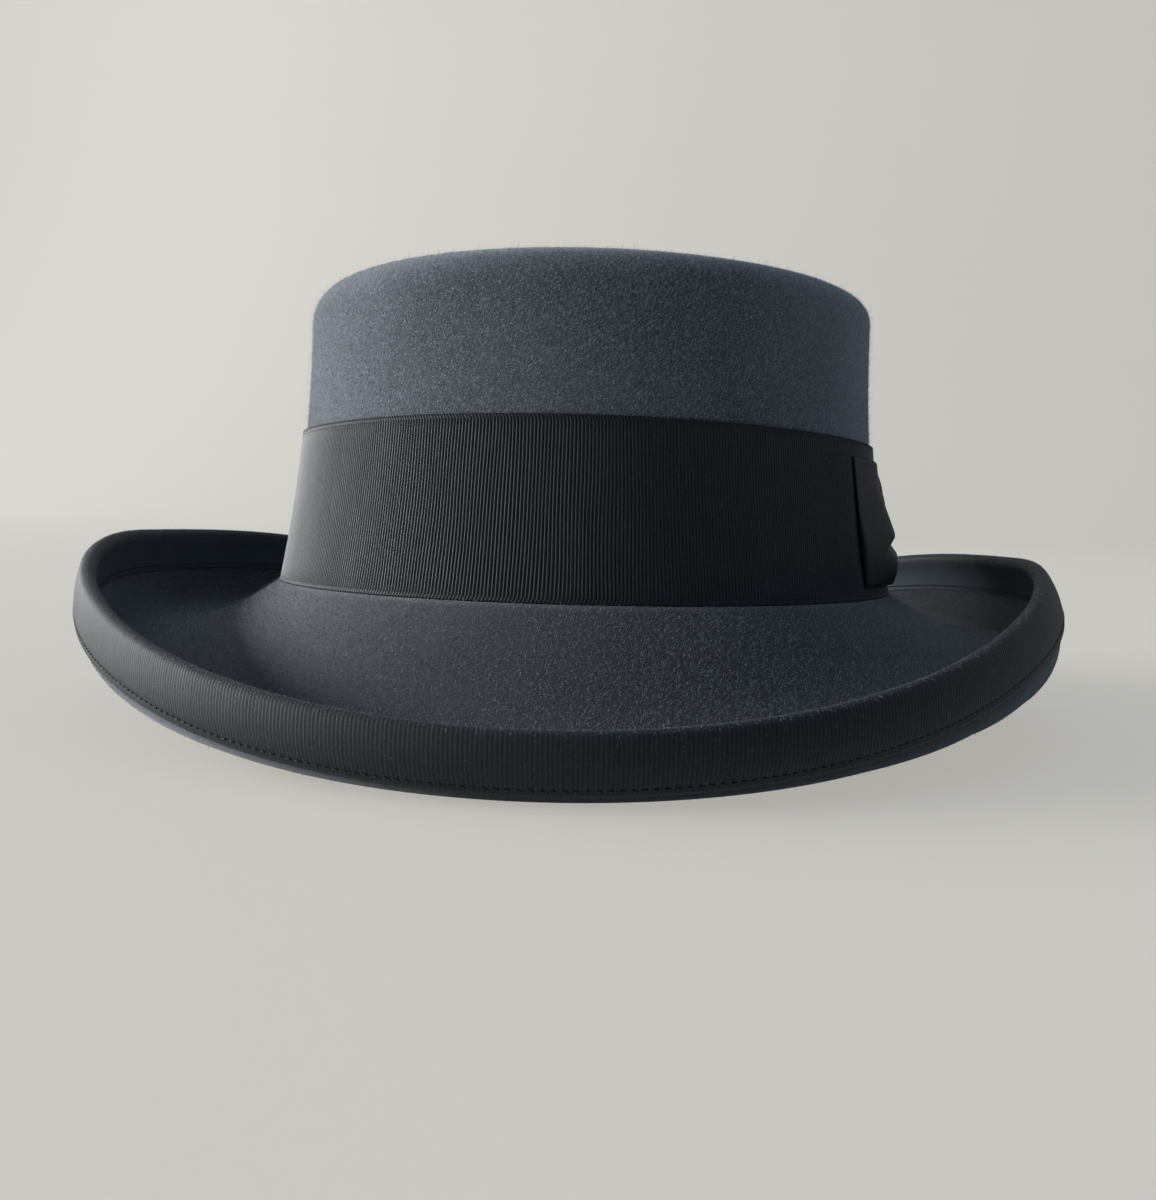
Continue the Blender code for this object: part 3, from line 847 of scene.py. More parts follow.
def felt_material(look, name, comb, shades, sheen):
    """Brushed felt in three shades. The sheen lights the nap where it is seen along the face."""
    dark, mid, light = shades
    constants = {"Sheen Weight": sheen, "Sheen Roughness": 0.5, "Specular IOR Level": 0.1}
    constants["Sheen Tint"] = FELT_TINT
    material, nodes, shader = new_material(name, constants)
    inputs = {"Surface": surface_uv(nodes), "Place": object_place(nodes)}
    inputs |= {"Comb": comb, "Length": look.streak}
    felt = use_group(nodes, "Brushed felt", felt_group, inputs)
    high = nodes.product(nodes.spread(felt["Nap"], 0.62, 1.0), 0.75)
    base = nodes.mix(high, nodes.mix(felt["Nap"], dark, mid), light)
    base = nodes.mix(worn(nodes, FELT_PATCH), base, nodes.mix(0.08, base, light))
    # Painted shade: the brim's underside is painted darker, towards the dark shade
    base = nodes.mix(nodes.product(nodes.attribute("under"), 0.6), base, dark)
    rough = nodes.spread(felt["Nap"], 0.0, 1.0, 0.98, 0.86)
    dress(nodes, shader, base, rough, felt["Height"], FELT_RELIEF)
    return material


def fibre_material(name, shades, sheen):
    dark, mid, light = shades
    constants = {"Roughness": 0.75, "Specular IOR Level": 0.15}
    constants |= {"Sheen Weight": sheen, "Sheen Roughness": 0.5}
    material, nodes, shader = new_material(name, constants)
    base = nodes.mix(nodes.attribute("tone"), mid, light)
    # Painted shade: each fibre is darker at its root, where it meets the felt, and turns to its tone
    # towards the tip
    root = nodes.mix(0.5, base, dark)
    rise = nodes.spread(nodes.attribute("along"), 0.0, 0.5)
    nodes.feed(shader["Base Color"], nodes.mix(rise, root, base))
    return material


def ribbon_group(name):
    """Threads over the ribs of a grosgrain ribbon, as a tone and a height. The tone holds painted shade in
    the grooves and at the edges.
    """
    inputs = {"Surface": VECTOR} | dict.fromkeys(("Rib", "Edge", "Pitch", "Selvedge"), FLOAT)
    nodes, given, result = new_group(name, "ShaderNodeTree", inputs, {"Tone": FLOAT, "Height": FLOAT})
    threads = yarn(nodes, given["Surface"], nodes.joined(given["Pitch"], RIB_THREAD_WIDTH, 1.0))
    slow = nodes.joined(given["Pitch"], RIB_EVEN_LENGTH, 1.0)
    uneven = yarn(nodes, given["Surface"], slow, detail=1.0, roughness=0.5)
    # Painted shade: the tone falls towards the grooves
    lit = nodes.math("POWER", given["Rib"], 1.3)
    thread_light = nodes.spread(threads, 0.3, 0.7, 0.72, 1.0)
    rib_light = nodes.spread(uneven, 0.35, 0.65, 0.84, 1.0)
    # Painted shade: the tone darkens towards the ribbon's edges. It is also darker along the inner line of
    # each selvedge.
    across = nodes.math("DIVIDE", given["Edge"], given["Selvedge"])
    inner_line = nodes.math("ABSOLUTE", nodes.math("SUBTRACT", across, 1.0))
    selvedge_line = nodes.spread(inner_line, 0.05, 0.3, 0.65, 1.0)
    hem = nodes.spread(inner_line, 0.65, 0.95, 1.0, 0.2)
    middle = nodes.spread(given["Edge"], *RIBBON_INSIDE)
    woven = nodes.math("MAXIMUM", nodes.product(selvedge_line, hem), middle)
    nodes.feed(result.inputs["Tone"], nodes.product(lit, thread_light, rib_light, woven))
    nodes.feed(result.inputs["Height"], threads)
    return nodes.tree


def ribbon_material(look, name, shine=BAND_SHINE):
    constants = {"Specular IOR Level": shine, "Sheen Weight": 0.04, "Sheen Roughness": 0.4}
    constants["Sheen Tint"] = RIBBON_SHEEN_TINT
    constants["Specular Tint"] = RIBBON_TINT
    material, nodes, shader = new_material(name, constants)
    inputs = {"Surface": surface_uv(nodes), "Pitch": look.rib_pitch, "Selvedge": look.selvedge}
    inputs |= {"Rib": nodes.attribute("rib"), "Edge": nodes.attribute("edge")}
    weave = use_group(nodes, "Grosgrain threads", ribbon_group, inputs)
    wear = worn(nodes, RIBBON_PATCH)
    # Painted shade: the colour runs from the painted groove shade up to the rib's colour
    base = nodes.mix(weave["Tone"], rgba(look.painted_groove_shade), rgba(look.rib))
    # Random lint specks on all ribbons. On the binding's inner face the lint colour is mixed in at 70 to 95
    # percent, partly dust and partly painted light.
    specks = nodes.spread(nodes.noise(object_place(nodes), 1500.0, 2.0, 0.7), 0.6, 0.72, 0.0, 0.4)
    lint_and_painted_light = nodes.product(nodes.attribute("lint"), nodes.spread(wear, 0.0, 1.0, 0.7, 0.95))
    base = nodes.mix(nodes.math("MAXIMUM", lint_and_painted_light, specks), base, rgba(look.lint))
    base = nodes.mix(wear, base, nodes.mix(0.12, base, rgba(look.rib)))
    rough = nodes.spread(weave["Tone"], 0.0, 0.8, 0.85, 0.5)
    dress(nodes, shader, base, rough, weave["Height"], RIBBON_RELIEF)
    return material


def thread_material(look, name):
    material, nodes, shader = new_material(name, {"Specular IOR Level": 0.3})
    twist = nodes.noise(object_place(nodes), 3000.0, 2.0, 0.6)
    base = nodes.mix(nodes.spread(twist, 0.35, 0.65), rgba(look.thread), rgba(look.thread, 1.7))
    dress(nodes, shader, base, nodes.spread(twist, 0.3, 0.7, 0.5, 0.75), twist, THREAD_RELIEF)
    return material


# Crown and brim


def hand_shaped(rings):
    """Slight unevenness of felt that was shaped by hand over a block."""
    angle = np.arctan2(rings[..., 0], -rings[..., 1])
    height = rings[..., 2] / HAND_WAVE_HEIGHT
    wave = np.sin(3 * angle + 1.1 + height) + 0.7 * np.sin(5 * angle - 0.6 - 1.7 * height)
    wave += 0.4 * np.sin(11 * angle + 2.3 * height)
    out = rings * np.array([1.0, 1.0, 0.0])
    out /= np.maximum(np.linalg.norm(out, axis=-1, keepdims=True), 1e-6)
    return rings + HAND_WAVE * wave[..., None] * out


CROWN_COLUMNS = 240
CROWN_WALL_ROWS = 22
CROWN_EDGE_ROWS = 9
CROWN_TOP_ROWS = 12


def crown_rings(inset):
    """Rings of the crown's face moved in by inset, from its foot to near the middle of the top."""
    angles, _ = even_angles(headline, CROWN_COLUMNS)
    depth = CROWN_DEPTH + inset
    outer_radius = CROWN_EDGE_RADIUS - CROWN_EDGE_SKEW * np.sin(angles)
    shoulder = CROWN_HEIGHT - outer_radius
    radius = outer_radius - inset
    rings = []
    for row in range(CROWN_WALL_ROWS + 1):
        rings.append(wall(angles, depth, GAP + (shoulder - GAP) * row / CROWN_WALL_ROWS))
    for row in range(1, CROWN_EDGE_ROWS + 1):
        bend = math.pi / 2 * row / CROWN_EDGE_ROWS
        outward = -depth - draw_in(shoulder) - radius * (1 - math.cos(bend))
        rings.append(oval(angles, outward, shoulder + radius * math.sin(bend)))
    edge = rings[-1]
    for row in range(1, CROWN_TOP_ROWS):
        rings.append(edge * np.array([1 - row / CROWN_TOP_ROWS] * 2 + [1.0]))
    return hand_shaped(np.array(rings))


def combed(rings, comb, upward):
    """The nap's way at each point of a face: round the hat and up the face."""
    around = np.roll(rings, -1, 1) - np.roll(rings, 1, 1)
    rise = upward * np.gradient(rings, axis=0)
    around /= np.linalg.norm(around, axis=-1, keepdims=True)
    rise /= np.linalg.norm(rise, axis=-1, keepdims=True)
    return math.cos(comb) * around + math.sin(comb) * rise


# Kinds of fibres. Their lengths and widths are shares of the felt's own
CROWN_NAP = {"Length": 1.0, "Width": 1.0, "Lift": 0.14, "Thickness": 0.4, "Spread": (0.4, 0.4, 0.4)}
BRIM_NAP = {"Length": 0.75, "Width": 1.5, "Lift": 0.3, "Thickness": 0.5, "Spread": (1.0, 1.0, 0.6)}
HAIRS = {"Length": 1.5, "Width": 0.6, "Lift": 0.9, "Thickness": 1.0, "Spread": (0.9, 0.9, 0.9)}
HAIRS |= {"Segments": 3, "Bend": 0.0008}
LINT = HAIRS | {"Length": 0.75, "Width": 1.0, "Lift": 0.5, "Segments": 2, "Bend": 0.0004}


def grow_nap(name, rings, upward, density, material, look, seed, kind, slot="felt"):
    """Fibres on a face given as rings. Hairs are fewer, longer and curled, and stand off the felt."""
    base = ring_mesh(name, rings, round_rows=False)
    attach(base, "comb", combed(rings, look.comb, upward).reshape(-1, 3))
    values = {"Segments": 1, "Bend": 0.0} | kind
    values |= {"Density": float(density), "Seed": seed, "Material": material}
    values["Length"] *= look.fibre_length
    values["Width"] *= look.fibre_width
    piece = run_tree(name, base, shared_tree("Felt fibres", nap_tree), values)
    return put_piece(piece, material, slot)


PER_SQUARE_CENTIMETRE = 1e4
HAIR_DENSITY = 22 * PER_SQUARE_CENTIMETRE
LINT_DENSITY = 310 * PER_SQUARE_CENTIMETRE

# Shares of the full density that the pieces of nap have
CROWN_SIDE_SHARE, CROWN_EDGE_SHARE, CROWN_TOP_SHARE = 0.55, 0.45, 0.5
BRIM_TOP_SHARE, BRIM_UNDER_SHARE, BRIM_HAIR_SHARE = 0.5, 0.36, 0.6


class HAT_OT_crown(bpy.types.Operator):
    """Shape the felt crown and brush up its nap"""

    bl_idname = "hat.crown"
    bl_label = "Crown"

    def execute(self, context):
        look = context.scene.hat_felt
        outside, inside = crown_rings(0.0), crown_rings(CROWN_FELT)
        mesh = capped_mesh("crown_felt", np.concatenate([inside[::-1], outside]))
        shades = felt_shades(look, 1.0)
        felt = felt_material(look, "crown felt", look.comb, shades, CROWN_SHEEN)
        put_piece(add_object("crown_felt", mesh), felt, "felt", "crown")
        fibres = fibre_material("crown fibres", shades, FIBRE_SHEEN)
        density = look.crown_density * PER_SQUARE_CENTIMETRE
        low = np.searchsorted(outside[: CROWN_WALL_ROWS + 1, 0, 2], BAND_WIDTH - 2 * BAND_SIDE_DIP)
        side, top = outside[low : 1 - CROWN_TOP_ROWS], outside[-CROWN_TOP_ROWS:]
        naps = [("side", side, CROWN_SIDE_SHARE), ("edge", side, CROWN_EDGE_SHARE)]
        naps.append(("top", top, CROWN_TOP_SHARE))
        for step, (name, rings, part) in enumerate(naps):
            seed = look.seed + 10 * step
            grow_nap(f"crown_{name}_nap", rings, 1, density * part, fibres, look, seed, CROWN_NAP)
        grow_nap("crown_hairs", side, 1, HAIR_DENSITY, fibres, look, look.seed + 30, HAIRS)
        return {"FINISHED"}


# The brim's fibres are this many times lighter than its painted-shaded felt
BRIM_FIBRE_SHADE = 2.4
BRIM_COLUMNS = 280
BRIM_ROWS = 34


def brim_arcs(end):
    """Arc lengths from the headline out to where the felt, or its showing part, ends."""
    return np.linspace(0, 1, BRIM_ROWS + 1)[None, :] * end[:, None]


class HAT_OT_brim(bpy.types.Operator):
    """Shape the felt brim and brush up its nap"""

    bl_idname = "hat.brim"
    bl_label = "Brim"

    def execute(self, context):
        look = context.scene.hat_felt
        angles, _ = even_angles(rim_path, BRIM_COLUMNS)
        sections = BrimSections(angles)
        arcs = brim_arcs(sections.felt_edge())
        upper = sections.rings(arcs, 0.0)
        under = sections.rings(arcs, -BRIM_FELT)
        heights = (COLLAR_HEIGHT, COLLAR_HEIGHT / 2, 0.0)
        collar = [wall(angles, COLLAR_DEPTH, height) for height in heights]
        inside = [wall(angles, COLLAR_DEPTH + BRIM_FELT, height) for height in reversed(heights)]
        rings = np.concatenate([collar, upper, under[::-1], inside])
        mesh = ring_mesh("brim_felt", rings)
        # Marks the underside, whose felt takes painted shade
        under_side = np.arange(len(rings)) >= len(collar) + len(upper)
        attach(mesh, "under", np.repeat(under_side, BRIM_COLUMNS))
        # Painted shade: the brim's felt is a darker copy of the crown's
        shades = felt_shades(look, look.brim_painted_shade)
        felt = felt_material(look, "brim felt", -look.comb, shades, BRIM_SHEEN)
        put_piece(add_object("brim_felt", mesh), felt, "felt", "brim")
        light_shades = felt_shades(look, BRIM_FIBRE_SHADE * look.brim_painted_shade)
        fibres = fibre_material("brim fibres", light_shades, FIBRE_SHEEN)
        # Painted shade: the underside's fibres keep the brim's darker shades, not the lighter ones of its
        # top
        under_fibres_painted_shade = fibre_material("brim under fibres", shades, UNDER_SHEEN)
        density = look.brim_density * PER_SQUARE_CENTIMETRE
        shown = brim_arcs(sections.outer_arc([0.0])[:, 0])
        top = sections.rings(shown, 0.0)
        below = sections.rings(shown, -BRIM_FELT)
        for name, seed in (("brim_top_nap", look.seed + 40), ("brim_slope_nap", look.seed + 50)):
            grow_nap(name, top, -1, density * BRIM_TOP_SHARE, fibres, look, seed, BRIM_NAP)
        sparse = density * BRIM_UNDER_SHARE
        grow_nap("brim_under_nap", below[::-1], 1, sparse, under_fibres_painted_shade, look, look.seed + 60, BRIM_NAP)
        hairs = HAIR_DENSITY * BRIM_HAIR_SHARE
        grow_nap("brim_hairs", top, -1, hairs, fibres, look, look.seed + 70, HAIRS)
        return {"FINISHED"}


# Ribbons


STATIONS_PER_RIB = 4
RIB_SWAY = 0.0009
RIB_SWAY_HEIGHT = 0.009
EDGE_ROUNDING = 0.00006
BAND_MIDDLE_ROWS = 11


def press_ribs(name, mesh, pitch, look, material, depth=None):
    values = {"Pitch": pitch, "Depth": depth or look.rib_depth, "Material": material}
    values |= {"Selvedge": look.selvedge, "Scallop": look.scallop}
    return run_tree(name, mesh, shared_tree("Grosgrain ribs", rib_tree), values)


def tell_ribs(mesh, ribbed, edge, run, columns, hem=None):
    """Stores what the rib tree reads. ribbed and edge have a value for each ring."""
    rows = len(edge)
    attach(mesh, "ribbed", np.repeat(ribbed, columns))
    attach(mesh, "edge", np.repeat(edge, columns))
    attach(mesh, "run", np.tile(np.arange(columns) * run / columns, rows))
    attach(mesh, "hem", np.zeros((rows * columns, 3)) if hem is None else hem.reshape(-1, 3))


def rib_count(run, look):
    return round(run / look.rib_pitch)


def edge_rows(width, selvedge, middle):
    """Rows across a ribbon, close together in its woven edges."""
    hem = np.concatenate([[0.0], np.linspace(EDGE_ROUNDING, selvedge, 4)])
    inner = np.linspace(selvedge, width - selvedge, middle + 2)[1:-1]
    return np.concatenate([hem, inner, width - hem[::-1]])


def rib_sway(angles, row):
    """Small turns that make the ribs of the band wander a little on their way up."""
    level = row / RIB_SWAY_HEIGHT
    wave = np.sin(23 * angles + 1.4 * level) + 0.8 * np.sin(41 * angles - 0.9 * level + 1.0)
    return RIB_SWAY * (wave + 0.6 * np.sin(9 * angles + 2.1 * level))


class HAT_OT_band(bpy.types.Operator):
    """Wrap the ribbed band round the crown"""

    bl_idname = "hat.band"
    bl_label = "Hat band"

    def execute(self, context):
        look = context.scene.hat_ribbon
        run = path_length(headline)
        ribs = rib_count(run, look)
        angles, _ = even_angles(headline, ribs * STATIONS_PER_RIB)
        rows = edge_rows(BAND_WIDTH - GAP, look.selvedge, BAND_MIDDLE_ROWS)
        tops = BAND_WIDTH - BAND_SIDE_DIP * np.sin(angles) ** 2
        heights = GAP + (tops - GAP) * rows[:, None] / rows[-1]
        outer = [wall(angles + rib_sway(angles, row), 0.0, height) for row, height in zip(rows, heights)]
        inner = [wall(angles, BAND_THICKNESS, heights[row]) for row in (-1, len(rows) // 2, 0)]
        mesh = ring_mesh("hat_band_ribbon", outer + inner)
        # Rows beside the band's edges, inside too, have an edge of 0, where painted shade darkens the tone
        edge = np.concatenate([np.minimum(rows, rows[-1] - rows), [0.0, rows[-1], 0.0]])
        hem = np.zeros((len(edge), len(angles), 3))
        hem[0], hem[len(outer) - 1] = -UP, UP
        tell_ribs(mesh, np.arange(len(edge)) < len(outer), edge, run, len(angles), hem)
        material = ribbon_material(look, "band ribbon")
        piece = press_ribs("hat_band_ribbon", mesh, run / ribs, look, material)
        put_piece(piece, material, "grosgrain", "hat_band")
        return {"FINISHED"}


OUTER_ROWS = (0.0, 0.0006, 0.0012, 0.0018, 0.0024, 0.0032, 0.0055, 0.008, 0.0105)
SEAM_ROW = 0.0018
SEAM_SINK = 0.00018
BINDING_RIB_DEPTH = 0.0001
BINDING_STATIONS_PER_RIB = 3
FOLD_TURNS = np.linspace(-math.pi / 2, math.pi / 2, 8)
LINT_SHADE = 0.9

# The inner face of the binding is drawn tight to the felt at its edge
INNER_TAPER = np.array([1.0, 1.0, 1.0, 0.95, 0.75, 0.35])[None, :]


class HAT_OT_binding(bpy.types.Operator):
    """Fold the ribbed binding over the rim and stitch it down"""

    bl_idname = "hat.binding"
    bl_label = "Brim binding"

    def execute(self, context):
        look = context.scene.hat_ribbon
        run = path_length(rim_path)
        ribs = rib_count(run, look)
        angles, _ = even_angles(rim_path, ribs * BINDING_STATIONS_PER_RIB)
        sections = BrimSections(angles)
        centre = sections.fold_centre()[:, None]
        outer = sections.outer_arc(OUTER_ROWS)
        edge = outer[:, :1]
        inner = edge + (centre - edge) * np.linspace(1, 0, 7)[None, 1:]
        spacing = GAP + BINDING_THICKNESS
        sunk = np.where(np.isclose(OUTER_ROWS, SEAM_ROW), SEAM_SINK, 0.0)[None, :]
        skin = [sections.at(outer, -BRIM_FELT - spacing + sunk)]
        skin += [sections.fold(spacing, FOLD_TURNS), sections.at(inner, spacing * INNER_TAPER)]
        backing = [sections.at(inner[:, ::-3], GAP), sections.fold(GAP, FOLD_TURNS[::-3])]
        backing += [sections.at(outer[:, ::-4], -BRIM_FELT - GAP)]
        skin, backing = np.concatenate(skin, 1), np.concatenate(backing, 1)
        rings = np.concatenate([skin, backing], 1).transpose(1, 0, 2)
        mesh = ring_mesh("brim_binding_ribbon", rings)
        width = run_along(skin[0])
        # Painted shade darkens only the outer face's lower edge, not the inner face's edge
        margin = np.concatenate([width, np.full(backing.shape[1], width[-1])])
        margin[-1] = 0.0
        row = np.arange(len(margin))
        tell_ribs(mesh, row < skin.shape[1], margin, run, len(angles))
        # Marks the rows from the binding's inner face on, which take dust and painted light in their colour
        attach(mesh, "lint", np.repeat(row >= len(OUTER_ROWS) + len(FOLD_TURNS) - 1, len(angles)))
        material = ribbon_material(look, "binding ribbon", BINDING_SHINE)
        piece = press_ribs("brim_binding_ribbon", mesh, run / ribs, look, material, BINDING_RIB_DEPTH)
        put_piece(piece, material, "grosgrain", "brim_binding")
        self.stitch(look, spacing)
        fold = sections.fold(spacing, FOLD_TURNS)[::BINDING_STATIONS_PER_RIB, 1:].transpose(1, 0, 2)
        felt = context.scene.hat_felt
        lint = fibre_material("binding lint", felt_shades(felt, LINT_SHADE), FIBRE_SHEEN)
        grow_nap("binding_lint", fold, -1, LINT_DENSITY, lint, felt, felt.seed + 80, LINT, "grosgrain")
        return {"FINISHED"}

    def stitch(self, look, spacing):
        """Two lines of stitches, where the needle went through the binding's outer and inner face."""
        angles, _ = even_angles(rim_path, round(path_length(rim_path) / look.stitch_pitch))
        sections = BrimSections(angles)
        seam = sections.outer_arc([SEAM_ROW])
        sides = {"binding_outer_stitches": -1, "binding_inner_stitches": 1}
        thread = thread_material(look, "binding thread")
        for name, side in sides.items():
            above = spacing if side > 0 else -BRIM_FELT - spacing
            line = sections.at(seam, above)[:, 0]
            out = side * (sections.at(seam, 1.0) - sections.at(seam, 0.0))[:, 0]
            piece = lay_stitches(name, line, out, look.stitch_length, look.stitch_width, thread)
            put_piece(piece, thread, "grosgrain")


def lay_stitches(name, line, out, size, width, material):
    """Stitches along a closed line of points, each lying the way that the line runs."""
    mesh = bpy.data.meshes.new(name)
    mesh.vertices.add(len(line))
    mesh.vertices.foreach_set("co", (line + PLACE).astype(np.float32).ravel())
    attach(mesh, "ahead", np.roll(line, -1, 0) - np.roll(line, 1, 0))
    attach(mesh, "out", out)
    values = {"Length": size, "Width": width, "Material": material}
    return run_tree(name, mesh, shared_tree("Thread stitches", stitch_tree), values)


# Bow


BOW_ANGLE = math.pi / 2
BOW_HEIGHT = 0.0202
BOW_RIBBON = 0.00022
BOW_CLEAR = 0.0001
BOW_RIB_DEPTH = 0.00018
LOOP_LENGTH = 0.056
LOOP_HALF_HEIGHT = 0.0168
WAIST_HALF_HEIGHT = 0.008
WAIST_THICKNESS = 0.0016
KNOT_HALF_LENGTH = 0.0075
KNOT_ROOM = 0.0004
KNOT_SQUARENESS = 3
KNOT_SWELL = 0.0002
KNOT_PINCH = 0.1
KNOT_ROWS = np.linspace(-1, 1, 9)
WAIST_OFF = 0.0015
LOOP_ROWS = np.linspace(-1, 1, 25)
LOOP_FOLD_STEPS = 12
FOLD_STAND_OFF = 0.0018
LOOP_GATHER = 8
LOOP_BELLY = 0.0004

# Places along the loop, from 0 at the knot to 1 at the fold
LOOP_OPENING = 0.16
PLEAT_END = 0.8
PLEAT_FADE = 0.5
FOLD_START = 0.25
BELLY_START = 0.6

# The fold's fullest row and how far its fullness spreads, where the rows run from -1 to 1
FOLD_ROW = -0.4
FOLD_SPREAD = 0.62

# Each loop's name, its way along the band and the row of its pleat
LOOPS = (("front", 1, -0.41), ("rear", -1, -0.34))

# How far the loop stands off the band where it is fullest, from its lower edge to its upper edge
LOOP_SWELL = ((-1.0, 0.0022), (-0.82, 0.0036), (-0.62, 0.0041), (-0.19, 0.0042), (0.1, 0.0031))
LOOP_SWELL += ((0.38, 0.0019), (0.65, 0.0010), (1.0, 0.0009))
PLEAT_WIDTH = 0.1
PLEAT_DEPTH = 0.0019


def band_angles(along):
    """Angles of places along the band, measured from the bow's knot towards the front."""
    angles = np.linspace(0, math.pi, FINE_STEPS)
    run = run_along(headline(angles))
    return np.interp(np.interp(BOW_ANGLE, angles, run) - along, run, angles)


def bow_points(along, off, height):
    """Points by their place along the band, their distance off its face and their height."""
    return oval(band_angles(along), off - draw_in(height), height)


def smooth(value):
    value = np.clip(value, 0.0, 1.0)
    return value * value * (3 - 2 * value)


def loop_swell(opened, row, pleat):
    """Distance of the loop's outer layer from the band."""
    places, heights = zip(*LOOP_SWELL)
    full = np.interp(row, places, heights)
    valley = PLEAT_DEPTH * np.exp(-(((row - pleat) / PLEAT_WIDTH) ** 2))
    full = full - valley * smooth((PLEAT_END - opened) / PLEAT_FADE)
    fold = FOLD_STAND_OFF * np.exp(-(((row - FOLD_ROW) / FOLD_SPREAD) ** 2))
    waist = WAIST_OFF + WAIST_THICKNESS / 2
    grown = waist + (full - waist) * smooth(opened / LOOP_OPENING)
    folded = grown + (fold - grown) * smooth((opened - FOLD_START) / (1 - FOLD_START))
    return np.maximum(folded, BOW_CLEAR + 2 * BOW_RIBBON)


def loop_skin(inset, row, along, side, turns, pleat):
    """One row of the loop's skin: out along the band, round the fold and back, pulled in by inset."""
    far = LOOP_LENGTH - FOLD_STAND_OFF / 2
    opened = np.clip((along - KNOT_HALF_LENGTH) / (far - KNOT_HALF_LENGTH), 0.0, 1.0)
    waist = WAIST_OFF - WAIST_THICKNESS / 2
    near = waist + (BOW_CLEAR - waist) * smooth(opened / LOOP_OPENING)
    near = near + LOOP_BELLY * smooth((opened - BELLY_START) / (1 - BELLY_START)) * (1 - row**2)
    out = np.maximum(loop_swell(opened, row, pleat), near + 2 * BOW_RIBBON)
    radius = (out - near) / 2
    off = np.where(side < 0, near + inset, out - inset)
    bend = np.abs(turns) < math.pi / 2
    off = np.where(bend, (out + near) / 2 + (radius - inset) * np.sin(turns), off)
    reach = np.where(bend, along + (radius - inset) * np.cos(turns), along)
    half = WAIST_HALF_HEIGHT + (LOOP_HALF_HEIGHT - WAIST_HALF_HEIGHT) * (1 - (1 - opened) ** LOOP_GATHER)
    return reach, off, BOW_HEIGHT + row * half


def loop_rings(direction, columns, pleat):
    """Both skins of one loop, as rows of points along the ribbon."""
    far = LOOP_LENGTH - FOLD_STAND_OFF / 2
    legs = (columns - LOOP_FOLD_STEPS) // 2
    leg = np.linspace(GAP / 2, far, legs)
    bends = np.linspace(-math.pi / 2, math.pi / 2, columns - 2 * legs + 2)[1:-1]
    along = np.concatenate([leg, np.full(len(bends), far), leg[::-1]])
    side = np.concatenate([-np.ones(legs), np.zeros(len(bends)), np.ones(legs)])
    turns = np.concatenate([np.full(legs, -math.pi), bends, np.full(legs, math.pi)])
    rings = []
    for inset, rows in ((0.0, LOOP_ROWS), (BOW_RIBBON, LOOP_ROWS[::-1])):
        for row in rows:
            reach, off, height = loop_skin(inset, row, along, side, turns, pleat)
            rings.append(bow_points(direction * reach, off, height))
    return np.array(rings)


def ribbon_mesh(name, rings, run):
    """A closed ribbon whose first half of rings is its shown skin, with what the rib tree reads."""
    mesh = ring_mesh(name, rings)
    rows, columns = rings.shape[:2]
    shown = rows // 2
    width = run_along(rings[:shown, columns // 2])
    edge = np.concatenate([np.minimum(width, width[-1] - width), np.full(rows - shown, width[-1])])
    # The rows beside the edges get an edge of 0, where painted shade darkens the tone
    edge[[shown, -1]] = 0.0
    tell_ribs(mesh, np.arange(rows) < shown, edge, run, columns)
    return mesh


def knot_rings(columns):
    """Both skins of the strip round the bow's waist, slightly swollen in front."""
    turns = 2 * math.pi * np.arange(columns) / columns
    power = 2 / KNOT_SQUARENESS
    rings = []
    for skin, places in ((BOW_RIBBON, KNOT_ROWS), (0.0, KNOT_ROWS[::-1])):
        thick = WAIST_THICKNESS / 2 + KNOT_ROOM + skin
        tall = WAIST_HALF_HEIGHT + 2 * KNOT_ROOM + skin
        off = np.sign(np.cos(turns)) * np.abs(np.cos(turns)) ** power
        rise = np.sign(np.sin(turns)) * np.abs(np.sin(turns)) ** power
        for place in places:
            swell = KNOT_SWELL * (1 - place**2) * np.maximum(off, 0.0) * (1 - 0.6 * rise**2)
            pinch = 1 - KNOT_PINCH * (1 - np.abs(rise)) * np.maximum(off, 0.0)
            along = np.full(columns, place * KNOT_HALF_LENGTH) * pinch
            rings.append(bow_points(along, WAIST_OFF + thick * off + swell, BOW_HEIGHT + tall * rise))
    return np.array(rings)


class HAT_OT_bow(bpy.types.Operator):
    """Fold the two loops of the bow and tie them down with the knot"""

    bl_idname = "hat.bow"
    bl_label = "Bow"

    def execute(self, context):
        look = context.scene.hat_ribbon
        material = ribbon_material(look, "bow ribbon", BOW_SHINE)
        run = 2 * LOOP_LENGTH
        for name, direction, pleat in LOOPS:
            columns = self.columns(run, look)
            mesh = ribbon_mesh(f"bow_{name}_ribbon", loop_rings(direction, columns, pleat), run)
            piece = self.press(mesh, run, look, material, f"bow_{name}_loop")
        run = 4 * (WAIST_HALF_HEIGHT + KNOT_ROOM) + 4 * (WAIST_THICKNESS / 2 + KNOT_ROOM)
        mesh = ribbon_mesh("bow_knot_ribbon", knot_rings(self.columns(run, look)), run)
        piece = self.press(mesh, run, look, material, "bow_knot")
        return {"FINISHED"}

    def columns(self, run, look):
        return rib_count(run, look) * STATIONS_PER_RIB

    def press(self, mesh, run, look, material, node):
        pitch = run / rib_count(run, look)
        piece = press_ribs(mesh.name, mesh, pitch, look, material, BOW_RIB_DEPTH)
        return put_piece(piece, material, "grosgrain", node)


# Sweatband and lining


